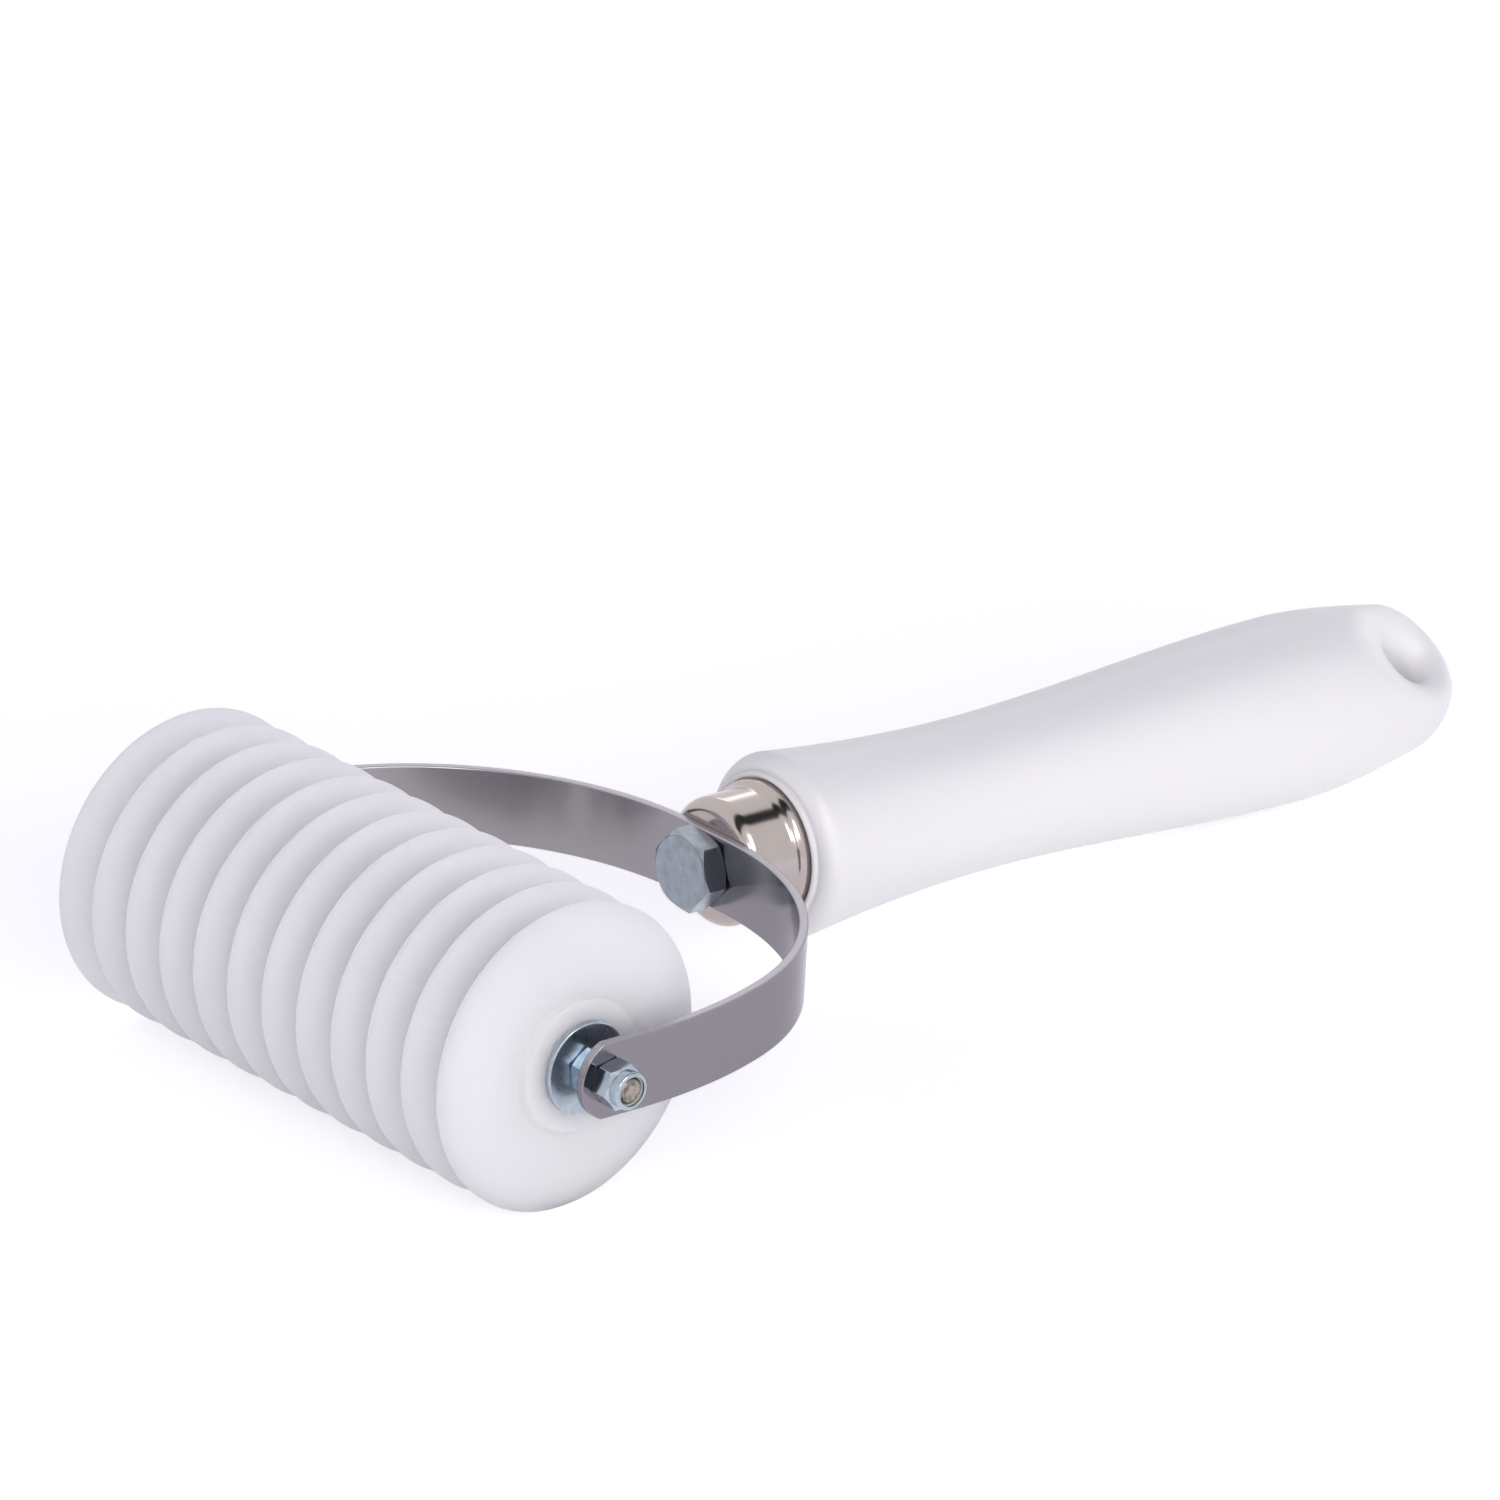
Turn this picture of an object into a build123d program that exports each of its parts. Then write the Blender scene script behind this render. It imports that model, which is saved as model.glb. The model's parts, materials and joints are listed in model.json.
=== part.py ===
from build123d import *
import math
import os

# Multi-wheel pasta cutter: twelve loose cutting wheels on a threaded axle, held in a
# bent strap fork that is bolted through a ferrule into a moulded handle.
# Lengths are millimetres and angles are degrees. Each piece is drawn with the axle
# along X through the origin and the handle along +Y. The tool is then laid down as it
# rests on a table, on its wheels and on the belly of its handle.

# Cutting wheels
wheel_count = 12
wheel_radius = 30.0
wheel_width = 10.0          # from boss face to boss face
wheel_side_play = 0.2       # between neighbouring bosses, and beside the end washers
edge_width = 0.4            # flat land on the cutting edge
boss_radius = 13.0
boss_height = 1.6           # boss face above the domed flank
boss_fillet = 1.3
boss_round = 0.2
bore_chamfer = 0.3

# Axle and its fasteners
axle_radius = 2.5
axle_chamfer = 0.4
axle_short = 0.3            # the axle ends this far inside the lock nut's mouth
running_gap = 0.08          # radial, between axle and wheel bore
thread_gap = 0.05           # radial, between a nut and the thread it turns on
hole_gap = 0.15             # radial, round a screw in a drilled hole
washer_radius = 9.0
washer_thickness = 1.2
washer_round = 0.4
nut_flats = 8.0
nut_height = 4.6
inner_nut_turn = 7.7        # about the axle, as tightened
lock_nut_turn = -18.6
lock_nut_hex_height = 4.2
lock_nut_height = 6.4
collar_radius = 3.65
collar_round = 0.6
crimp_width = 0.45          # how far the collar turns in over the ring
ring_height = 1.7
ring_width = 0.75
ring_gap = 0.05
chamfer_angle = 30.0        # of every hexagon's corner chamfer
chamfer_share = 0.95        # chamfer circle as a share of the width across flats

# Fork strap
strap_width = 15.0
strap_thickness = 1.8
strap_tip = 6.5             # axle centre to the tip of the arm
strap_tip_radius = 8.1
strap_round = 0.3           # rounding of the strip's rolled edges
arm_flat = 8.0              # straight part of the arm behind the axle
fork_reach = 80.2           # axle centre to the strap's inner middle face
middle_flat = 12.0
bow_turn = 70.0             # turned by the main bend, the rest by the arm's bend

# Fork bolt
bolt_radius = 4.0
bolt_length = 45.0
bolt_flats = 14.4
bolt_head_height = 5.3
bolt_chamfer = 0.8
bolt_turn = 12.0            # about the handle's axis, as tightened

# Ferrule
ferrule_radius = 12.75
ferrule_length = 14.2
ferrule_wall = 1.0
ferrule_front_wall = 1.4
ferrule_shoulder = 2.8
flare_length = 2.6
flare_height = 1.15
flare_edge = 1.5

# Handle
handle_length = 176.2       # from the seat of the ferrule to the butt
seat_gap = 0.2              # radial, round the ferrule's flare and inside its tube
spigot_gap = 0.2            # between the spigot's nose and the ferrule's front wall
lip_width = 1.1
lip_height = 0.8            # lip crest in front of the seat
groove_depth = 1.1          # bottom of the groove behind the lip's crest
groove_round = 0.4
shoulder_radius = 18.3      # widest radius at the front
shoulder_round = 3.5
shoulder_slope = 7.0        # taper of the side just behind the shoulder
waist_radius = 15.2
waist_place = 51.8          # behind the seat
belly_radius = 18.6
belly_setback = 41.6        # from the butt's tip to the belly
butt_radius = 15.6
butt_slope = 10.0           # taper of the side where the round butt begins

# Threaded bush moulded into the handle
bush_radius = 6.0
bush_length = 18.0
bush_depth = 14.0           # behind the handle's seat
bush_groove = 0.8
bore_end_space = 3.0        # free bore behind the bolt's end

# Hanging hole
hang_hole_radius = 4.75
hang_hole_setback = 13.4    # from the butt's tip to the hole's axis
hang_hole_straight = 7.0    # between the throats of the two mouths, along the bore
hang_hole_flare = 8.0       # radius of the mouth's rounding
hang_hole_spread = 60.0     # slope of the mouth, away from the mouth's axis
hang_hole_lean = 15.0       # of each mouth's axis towards the butt
hang_hole_turn = 52.0       # of the hole's axis about the handle, up from level
mouth_round = 2.0

# Shared values
quarter_turn = 90.0
half_turn = 180.0
hex_sides = 6
overrun = 1.0               # how far every cutting tool passes the surface
settle_rounds = 4           # of finding the angle at which the tool lies on the table

# Places along the axle, outwards from the middle
wheel_pitch = wheel_width + wheel_side_play
stack_half = (wheel_count * wheel_pitch + wheel_side_play) / 2
nut_place = stack_half + washer_thickness
arm_inner = nut_place + nut_height
arm_outer = arm_inner + strap_thickness
axle_half = arm_outer + lock_nut_height - axle_short

# Places along the handle
strap_front = fork_reach
strap_back = fork_reach + strap_thickness
ferrule_back = strap_back + ferrule_length
ferrule_inner = ferrule_radius - ferrule_wall
flare_radius = ferrule_radius + flare_height
seat_radius = flare_radius + seat_gap
handle_seat = ferrule_back
handle_end = handle_seat + handle_length


def spin(outline, axis):
    """Turn a closed outline, drawn in the XY plane, into a solid of revolution."""
    return revolve(make_face(outline), axis)


def path_of(*points):
    """Straight outline through the points and back to the first."""
    return Polyline(*points, close=True)


def rod(radius, start, end, chamfer_size):
    """Round bar along Z with chamfered ends."""
    return spin(
        path_of(
            (0, start),
            (radius - chamfer_size, start),
            (radius, start + chamfer_size),
            (radius, end - chamfer_size),
            (radius - chamfer_size, end),
            (0, end),
        ),
        Axis.Y,
    ).rotate(Axis.X, quarter_turn)


def hexagon(flats, height):
    """Hexagon bar from Z = 0 with the corner chamfers of a nut or a bolt head."""
    corner = flats / math.sqrt(hex_sides / 2)
    circle = flats / 2 * chamfer_share
    drop = (corner - circle) * math.tan(math.radians(chamfer_angle))
    bar = extrude(RegularPolygon(flats / 2, hex_sides, major_radius=False), height)
    turned = spin(
        path_of((0, 0), (circle, 0), (corner, drop), (corner, height - drop), (circle, height), (0, height)),
        Axis.Y,
    ).rotate(Axis.X, quarter_turn)
    return bar & turned


def bored(solid, radius, low, high):
    """Cut a round hole along Z through a solid that spans low to high."""
    length = high - low + 2 * overrun
    return solid - Pos(0, 0, (low + high) / 2) * Cylinder(radius, length)


def along_axle(solid, side, turn=0):
    """Turn a piece drawn along +Z to point along the axle, +X or -X, then about it."""
    return solid.rotate(Axis.Y, side * quarter_turn).rotate(Axis.X, turn)


def along_handle(solid):
    """Turn a piece drawn along +Z to point along +Y."""
    return solid.rotate(Axis.X, -quarter_turn)


def make_wheel():
    """Lens-shaped cutting wheel about X, centred on the origin."""
    half = wheel_width / 2
    flank = half - boss_height
    bore = axle_radius + running_gap
    straight = Polyline(
        (0, bore),
        (half - bore_chamfer, bore),
        (half, bore + bore_chamfer),
        (half, boss_radius - boss_round),
    )
    corner = JernArc(straight @ 1, (0, 1), boss_round, quarter_turn)
    wall = Line(corner @ 1, (flank + boss_fillet, boss_radius))
    root = JernArc(wall @ 1, (-1, 0), boss_fillet, -quarter_turn)
    dome = TangentArc(root @ 1, (edge_width / 2, wheel_radius), tangent=(0, 1))
    land = Line(dome @ 1, (0, wheel_radius))
    side = Curve() + [straight, corner, wall, root, dome, land]
    return spin(side + mirror(side, Plane.YZ), Axis.X)


def make_axle():
    """Threaded rod, drawn at the thread's outer diameter."""
    return along_axle(rod(axle_radius, -axle_half, axle_half, axle_chamfer), 1)


def make_washer(side):
    """Wide washer beside the end wheel, its outer edge rounded on the nut's side."""
    disc = bored(Cylinder(washer_radius, washer_thickness), axle_radius + hole_gap, 0, washer_thickness)
    rim = disc.edges().filter_by(GeomType.CIRCLE).sort_by(Axis.Z)[-2:].sort_by(SortBy.RADIUS)[-1]
    disc = fillet(rim, washer_round)
    return along_axle(Pos(0, 0, stack_half + washer_thickness / 2) * disc, side)


def make_inner_nut(side):
    """Plain nut that sets the arm's distance from the washer."""
    nut = bored(hexagon(nut_flats, nut_height), axle_radius + thread_gap, 0, nut_height)
    return along_axle(Pos(0, 0, nut_place) * nut, side, inner_nut_turn)


def make_lock_nut(side):
    """Lock nut outside the arm: a hexagon with a round collar crimped over a ring."""
    thread = axle_radius + thread_gap
    pocket = thread + ring_width
    pocket_floor = lock_nut_height - crimp_width - ring_height
    collar = Pos(0, 0, lock_nut_height / 2) * Cylinder(collar_radius, lock_nut_height)
    collar = fillet(collar.edges().filter_by(GeomType.CIRCLE).sort_by(Axis.Z)[-1], collar_round)
    nut = hexagon(nut_flats, lock_nut_hex_height) + collar
    nut = bored(nut, thread, 0, pocket_floor)
    nut -= Pos(0, 0, pocket_floor + ring_height / 2) * Cylinder(pocket, ring_height)
    nut -= Pos(0, 0, lock_nut_height) * Cylinder(pocket - crimp_width, 2 * (crimp_width + overrun))
    return along_axle(Pos(0, 0, arm_outer) * nut, side, lock_nut_turn)


def make_lock_ring(side):
    """Soft ring trapped in the lock nut's collar."""
    thread = axle_radius + thread_gap
    floor = arm_outer + lock_nut_height - crimp_width - ring_height
    height = ring_height - ring_gap
    ring = Cylinder(thread + ring_width - ring_gap, height) - Cylinder(thread, height + overrun)
    return along_axle(Pos(0, 0, floor + height / 2) * ring, side)


def strap_line():
    """Middle line of the strap's bend, from the middle to the tip of the +X arm.

    The main bend and the arm's bend turn a quarter between them. Their radii are the
    ones that reach from the middle flat to the straight part of the arm.
    """
    along = arm_inner + strap_thickness / 2 - middle_flat / 2
    down = fork_reach + strap_thickness / 2 - arm_flat
    sine = math.sin(math.radians(bow_turn))
    cosine = math.cos(math.radians(bow_turn))
    spread = sine + cosine - 1
    bow_radius = (along * cosine - down * (1 - sine)) / spread
    arm_radius = (down * sine - along * (1 - cosine)) / spread
    start = (0, fork_reach + strap_thickness / 2)
    flat = Line(start, (middle_flat / 2, start[1]))
    bow = JernArc(flat @ 1, (1, 0), bow_radius, -bow_turn)
    arm = JernArc(bow @ 1, bow % 1, arm_radius, bow_turn - quarter_turn)
    tip = Line(arm @ 1, ((arm @ 1).X, -strap_tip))
    return Curve() + [flat, bow, arm, tip]


def make_strap():
    """Fork: one strip bent to a bow, with a rounded tip on each arm and three holes."""
    half_line = strap_line()
    line = half_line + mirror(half_line, Plane.YZ)
    width_plane = Plane(origin=(0, fork_reach + strap_thickness / 2, 0), x_dir=(0, 1, 0), z_dir=(1, 0, 0))
    section = width_plane * Rectangle(strap_thickness, strap_width)
    half = sweep(section, half_line)
    strip = half + mirror(half, Plane.YZ)
    span = 2 * (arm_outer + overrun)
    tip_centre = strap_tip_radius - strap_tip
    reach = strap_back + overrun - tip_centre
    outline = Pos(tip_centre, 0) * Circle(strap_tip_radius)
    outline += Pos(tip_centre + reach / 2, 0) * Rectangle(reach, strap_width + 2 * overrun)
    side_plane = Plane(origin=(0, 0, 0), x_dir=(0, 1, 0), z_dir=(1, 0, 0))
    strip &= extrude(side_plane * outline, span / 2, both=True)
    rims = strip.edges() - strip.edges().filter_by(Axis.Z)
    strip = fillet(rims.filter_by(lambda edge: edge.length > 2 * strap_thickness), strap_round)
    strip -= Cylinder(axle_radius + hole_gap, span).rotate(Axis.Y, quarter_turn)
    bolt_hole = Cylinder(bolt_radius + hole_gap, strap_thickness + 2 * overrun).rotate(Axis.X, quarter_turn)
    return strip - Pos(0, fork_reach + strap_thickness / 2, 0) * bolt_hole


def make_bolt():
    """Hexagon bolt from inside the fork into the handle's bush."""
    head = Pos(0, 0, -bolt_head_height) * hexagon(bolt_flats, bolt_head_height)
    shank = rod(bolt_radius, -bolt_chamfer, bolt_length, bolt_chamfer)
    bolt = head + shank
    return Pos(0, strap_front, 0) * along_handle(bolt).rotate(Axis.Y, bolt_turn)


def make_ferrule():
    """Drawn cup between strap and handle, flared where it meets the handle."""
    hole = bolt_radius + hole_gap
    front = strap_back
    face = Line((hole, front), (ferrule_radius - ferrule_shoulder, front))
    shoulder = JernArc(face @ 1, (1, 0), ferrule_shoulder, quarter_turn)
    flare_start = ferrule_back - flare_edge - flare_length
    side = Line(shoulder @ 1, (ferrule_radius, flare_start))
    flare = TangentArc(side @ 1, (flare_radius, ferrule_back - flare_edge), tangent=(0, 1))
    inside = Polyline(
        flare @ 1,
        (flare_radius, ferrule_back),
        (ferrule_inner, ferrule_back),
        (ferrule_inner, front + ferrule_front_wall),
        (hole, front + ferrule_front_wall),
        (hole, front),
    )
    return spin(Curve() + [face, shoulder, side, flare, inside], Axis.Y)


def handle_outline():
    """Half outline of the handle from its spigot to the butt, radius against Y."""
    bore = bolt_radius + hole_gap
    nose = strap_back + ferrule_front_wall + spigot_gap
    spigot = ferrule_inner - seat_gap
    crest = handle_seat - lip_height + lip_width / 2
    groove = handle_seat - lip_height + groove_depth
    front = Polyline((0, nose), (spigot, nose), (spigot, handle_seat), (seat_radius, handle_seat), (seat_radius, crest))
    lip = JernArc(front @ 1, (0, -1), lip_width / 2, half_turn)
    wall = Line(lip @ 1, (seat_radius + lip_width, groove - groove_round))
    root = JernArc(wall @ 1, (0, 1), groove_round, -quarter_turn)
    face = Line(root @ 1, (shoulder_radius - shoulder_round, groove))
    shoulder = JernArc(face @ 1, (1, 0), shoulder_round, quarter_turn + shoulder_slope)
    slope = math.radians(butt_slope)
    butt_centre = handle_end - butt_radius
    butt_start = (butt_radius * math.cos(slope), butt_centre + butt_radius * math.sin(slope))
    side = Spline(
        shoulder @ 1,
        (waist_radius, handle_seat + waist_place),
        (belly_radius, handle_end - belly_setback),
        butt_start,
        tangents=[shoulder % 1, (0, 1), (0, 1), (-math.sin(slope), math.cos(slope))],
    )
    butt = RadiusArc(butt_start, (0, handle_end), -butt_radius)
    centre = Line((0, handle_end), (0, nose))
    return Curve() + [front, lip, wall, root, face, shoulder, side, butt, centre]


def make_hang_hole():
    """Tool that cuts the hanging hole: a bore along Z and a mouth at each end, leaning towards +Y."""
    top = belly_radius + overrun
    flare = JernArc((hang_hole_radius, 0), (0, 1), hang_hole_flare, -hang_hole_spread)
    spread = math.tan(math.radians(hang_hole_spread))
    rim = (flare @ 1).X + (top - (flare @ 1).Y) * spread
    end = Polyline(flare @ 1, (rim, top), (0, top), (0, 0), (hang_hole_radius, 0))
    mouth = spin(Curve() + [flare, end], Axis.Y).rotate(Axis.X, quarter_turn - hang_hole_lean)
    mouth = Pos(0, 0, hang_hole_straight / 2) * mouth
    return Cylinder(hang_hole_radius, 2 * top) + mouth + mirror(mouth, Plane.XY)


def make_handle():
    """Moulded handle with its spigot, bolt bore, bush pocket and hanging hole."""
    body = spin(handle_outline(), Axis.Y)
    nose = strap_back + ferrule_front_wall
    bore_end = strap_front + bolt_length + bore_end_space
    bore = Cylinder(bolt_radius + hole_gap, bore_end - nose + overrun).rotate(Axis.X, quarter_turn)
    body -= Pos(0, (bore_end + nose - overrun) / 2, 0) * bore
    pocket = Cylinder(bush_radius + thread_gap, bush_length).rotate(Axis.X, quarter_turn)
    body -= Pos(0, handle_seat + bush_depth + bush_length / 2, 0) * pocket
    hole = make_hang_hole().rotate(Axis.Y, quarter_turn - hang_hole_turn)
    hole = Pos(0, handle_end - hang_hole_setback, 0) * hole
    holed = body - hole
    rims = new_edges(body, hole, combined=holed).filter_by(GeomType.BSPLINE)
    return fillet(rims, mouth_round)


def make_bush():
    """Threaded bush that takes the bolt, with a groove that the handle grips."""
    bush = Cylinder(bush_radius, bush_length)
    grip = Cylinder(bush_radius + overrun, bush_length / 3) - Cylinder(bush_radius - bush_groove, bush_length)
    bush = bored(bush - grip, bolt_radius + thread_gap, -bush_length / 2, bush_length / 2)
    return Pos(0, handle_seat + bush_depth + bush_length / 2, 0) * along_handle(bush)


def rest_tilt(handle):
    """Angle by which the handle dips when the wheels and its belly are on the table."""
    tilt = 0
    for _ in range(settle_rounds):
        height = handle.rotate(Axis.X, -tilt).bounding_box().min.Z + wheel_radius
        tilt += math.degrees(math.asin(height / (handle_end - belly_setback)))
    return tilt


def make_pieces():
    """All pieces by node name, drawn with the axle on X."""
    pieces = {}
    wheel = make_wheel()
    for number in range(wheel_count):
        place = (number - (wheel_count - 1) / 2) * wheel_pitch
        pieces[f"wheel_{number + 1:02d}"] = Pos(place, 0, 0) * wheel
    pieces["axle_rod"] = make_axle()
    for name, side in (("left", -1), ("right", 1)):
        pieces[f"washer_{name}"] = make_washer(side)
        pieces[f"inner_nut_{name}"] = make_inner_nut(side)
        pieces[f"lock_nut_{name}"] = make_lock_nut(side)
        pieces[f"lock_ring_{name}"] = make_lock_ring(side)
    pieces["fork_strap"] = make_strap()
    pieces["fork_bolt"] = make_bolt()
    pieces["ferrule"] = make_ferrule()
    pieces["handle"] = make_handle()
    pieces["handle_bush"] = make_bush()
    return pieces


pieces = make_pieces()
tilt = rest_tilt(pieces["handle"])
handle_tip = pieces["handle"].rotate(Axis.X, -tilt).bounding_box().max.Y
middle = (handle_tip - wheel_radius) / 2
rest = Pos(0, -middle, wheel_radius) * Rot(-tilt, 0, 0)
print("rest tilt", round(tilt, 4), "axle at y", round(-middle, 4), "z", wheel_radius)

os.makedirs("parts", exist_ok=True)
for name, piece in pieces.items():
    export_step(rest * piece, f"parts/{name}.step")
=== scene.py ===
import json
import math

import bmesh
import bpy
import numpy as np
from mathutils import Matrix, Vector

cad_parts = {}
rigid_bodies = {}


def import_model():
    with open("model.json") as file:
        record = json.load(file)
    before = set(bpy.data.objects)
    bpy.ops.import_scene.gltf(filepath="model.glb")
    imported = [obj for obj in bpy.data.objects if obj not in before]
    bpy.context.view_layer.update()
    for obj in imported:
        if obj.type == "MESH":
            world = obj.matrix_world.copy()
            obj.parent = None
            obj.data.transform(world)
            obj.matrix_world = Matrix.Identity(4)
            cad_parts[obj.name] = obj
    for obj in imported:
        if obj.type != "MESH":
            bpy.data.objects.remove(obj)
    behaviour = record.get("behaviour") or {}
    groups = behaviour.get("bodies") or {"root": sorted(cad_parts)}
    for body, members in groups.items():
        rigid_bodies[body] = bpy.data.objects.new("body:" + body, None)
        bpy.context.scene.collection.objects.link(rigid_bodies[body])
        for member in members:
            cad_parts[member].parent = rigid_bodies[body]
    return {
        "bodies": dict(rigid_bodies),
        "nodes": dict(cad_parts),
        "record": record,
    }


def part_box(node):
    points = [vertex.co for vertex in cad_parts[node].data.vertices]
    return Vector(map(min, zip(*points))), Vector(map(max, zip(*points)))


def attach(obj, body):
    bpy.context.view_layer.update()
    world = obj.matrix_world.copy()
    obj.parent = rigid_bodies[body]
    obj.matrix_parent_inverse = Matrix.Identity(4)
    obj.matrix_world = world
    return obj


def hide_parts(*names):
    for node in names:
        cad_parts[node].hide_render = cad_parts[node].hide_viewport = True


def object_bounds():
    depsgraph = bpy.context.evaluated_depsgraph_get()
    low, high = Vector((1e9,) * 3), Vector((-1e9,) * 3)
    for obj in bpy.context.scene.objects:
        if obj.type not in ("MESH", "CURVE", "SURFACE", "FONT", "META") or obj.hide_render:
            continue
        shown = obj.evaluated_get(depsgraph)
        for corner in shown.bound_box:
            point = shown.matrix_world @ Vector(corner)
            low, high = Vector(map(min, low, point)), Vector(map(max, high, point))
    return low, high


bl_info = {
    "name": "Pasta Cutter Dressing",
    "version": (1, 0, 0),
    "blender": (4, 5, 0),
    "location": "3D View > Sidebar > Pasta Cutter",
    "description": "Builds the visible pieces, the finishes and the stage of a multi-wheel pasta cutter",
    "category": "Object",
}

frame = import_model()
cad_low, cad_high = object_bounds()

# The pieces are drawn in the tool's own frame, in metres: the axle along X through the
# origin and the handle along +Y. One matrix lays them down where the frame holds them.
MM = 0.001
WHEELS = [name for name in sorted(frame["bodies"]) if name.startswith("wheel_")]
SIDES = {"left": -1, "right": 1}


def middle_of(node):
    """Centre of a node's box in the frame."""
    low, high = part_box(node)
    return (low + high) / 2


def span_of(node):
    """Size of a node's box in the frame."""
    low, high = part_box(node)
    return high - low


axle_centre = middle_of("axle_rod")
bush_centre = middle_of("handle_bush")
rest_tilt = math.atan2(axle_centre.z - bush_centre.z, bush_centre.y - axle_centre.y)
LAY_DOWN = Matrix.Translation(axle_centre) @ Matrix.Rotation(-rest_tilt, 4, "X")
hanging_hole = frame["record"]["mounts"][0]
wheel_pitch = (middle_of(WHEELS[-1]).x - middle_of(WHEELS[0]).x) / (len(WHEELS) - 1)

# Steps of the meshes round, along and across the pieces, and the cell in which the butt is sampled,
# all fine enough that no facet shows.
WHEEL_STEPS = 256
WASHER_STEPS = 160
HEXAGON_STEPS = 72
RING_STEPS = 96
FERRULE_STEPS = 256
HANDLE_STEPS = 224
GRIP_ROWS = 150
BEND_ROWS = 141
STRAP_ACROSS = 12
STRAP_ALONG = 10
HOLE_RINGS = 6
BUTT_CELL = 0.55 * MM

# Points closer than these are one point: in any mesh, and where the strap's flat sheets meet.
SAME_POINT = 0.001 * MM
SAME_CORNER = 0.01 * MM

# Hexagons are chamfered at 30 degrees, as nuts and bolt heads are.
CHAMFER_SLOPE = math.tan(math.radians(30))

# Each lamp: name, place and size in metres, and power in watts.
LAMPS = (
    ("Key lamp", (1.8, -0.6, 0.65), (1.8, 1.2), 17.5),
    ("Back lamp", (-0.7, 1.9, 0.3), (1.2, 0.5), 12.0),
    ("Front lamp", (0.5, -1.9, 0.4), (1.4, 0.6), 3.8),
)

# What the metals mirror besides the white room: name, place and size in metres, colour and strength.
# The dark cards stand for a gap between overhead lamps and for the camera on its stand, the bright
# ones for windows.
DARK = (0.02, 0.02, 0.025, 1)
BRIGHT = (1.0, 0.99, 1.0, 1)
CARDS = (
    ("overhead_gap", (0.2, 0.0, 2.0), (6.0, 0.8), DARK, 1.0),
    ("camera_stand", (1.35, -1.5, 0.2), (0.7, 0.45), DARK, 1.0),
    ("tall_window", (1.4, -0.2, 1.35), (0.9, 0.9), BRIGHT, 4.0),
    ("far_window", (-1.3, 1.2, 0.95), (0.8, 0.3), BRIGHT, 2.5),
    ("camera_window", (1.2, -1.05, 0.95), (0.45, 0.45), BRIGHT, 5.0),
)

# The room's light on the pieces: most of it from the horizon, little from overhead. The floor glows
# by the lift where it is seen, so that it shows white, and reaches far beyond the picture.
HORIZON_LIGHT = (1.05, 1.03, 1.09, 1)
OVERHEAD_LIGHT = (0.14, 0.132, 0.2, 1)
FLOOR_LIFT = 0.5
FLOOR_REACH = 6.0


def linear(code):
    """A colour written as #RRGGBB in sRGB, turned to linear values."""
    shares = [int(code[place:place + 2], 16) / 255 for place in (1, 3, 5)]
    return tuple(s / 12.92 if s <= 0.04045 else ((s + 0.055) / 1.055) ** 2.4 for s in shares)


def length(name, description, millimetres):
    """Property for a length, given in millimetres and held in metres."""
    return bpy.props.FloatProperty(
        name=name, description=description, default=millimetres * MM, unit="LENGTH", precision=5)


def turn(name, description, degrees):
    """Property for an angle, given in degrees."""
    return bpy.props.FloatProperty(
        name=name, description=description, default=math.radians(degrees), subtype="ANGLE")


def number(name, description, value):
    """Property for a plain number."""
    return bpy.props.FloatProperty(name=name, description=description, default=value)


def colour(name, description, code):
    """Property for a colour, given as a sRGB code."""
    return bpy.props.FloatVectorProperty(
        name=name, description=description, default=linear(code), subtype="COLOR", min=0, max=1)


class WheelSettings(bpy.types.PropertyGroup):
    """Sizes and finish of the cutting wheels"""
    radius: length("Radius", "From the axle to the cutting edge", 30.0)
    width: length("Width", "From boss face to boss face", 10.0)
    edge_width: length("Edge width", "Flat land on the cutting edge", 0.4)
    boss_radius: length("Boss radius", "Radius of the raised face round the bore", 13.0)
    boss_height: length("Boss height", "Boss face above the domed flank", 1.6)
    boss_fillet: length("Boss fillet", "Hollow rounding where boss meets flank", 1.3)
    boss_round: length("Boss round", "Rounding of the boss face's edge", 0.2)
    bore_radius: length("Bore radius", "Running fit on the axle", 2.58)
    bore_chamfer: length("Bore chamfer", "Chamfer at both ends of the bore", 0.3)
    thin_share: number("Thin share", "Share of the radius beyond which the plastic is thin", 0.93)
    plastic: colour("Plastic", "White polyethylene", "#FDFBFF")
    # Painted glow: the colour near the rim, lighter to stand in for light passing through the thin plastic.
    painted_edge_glow: colour("Thin edge", "The plastic where its edge is thin enough to pass light", "#FEFDFF")


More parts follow.
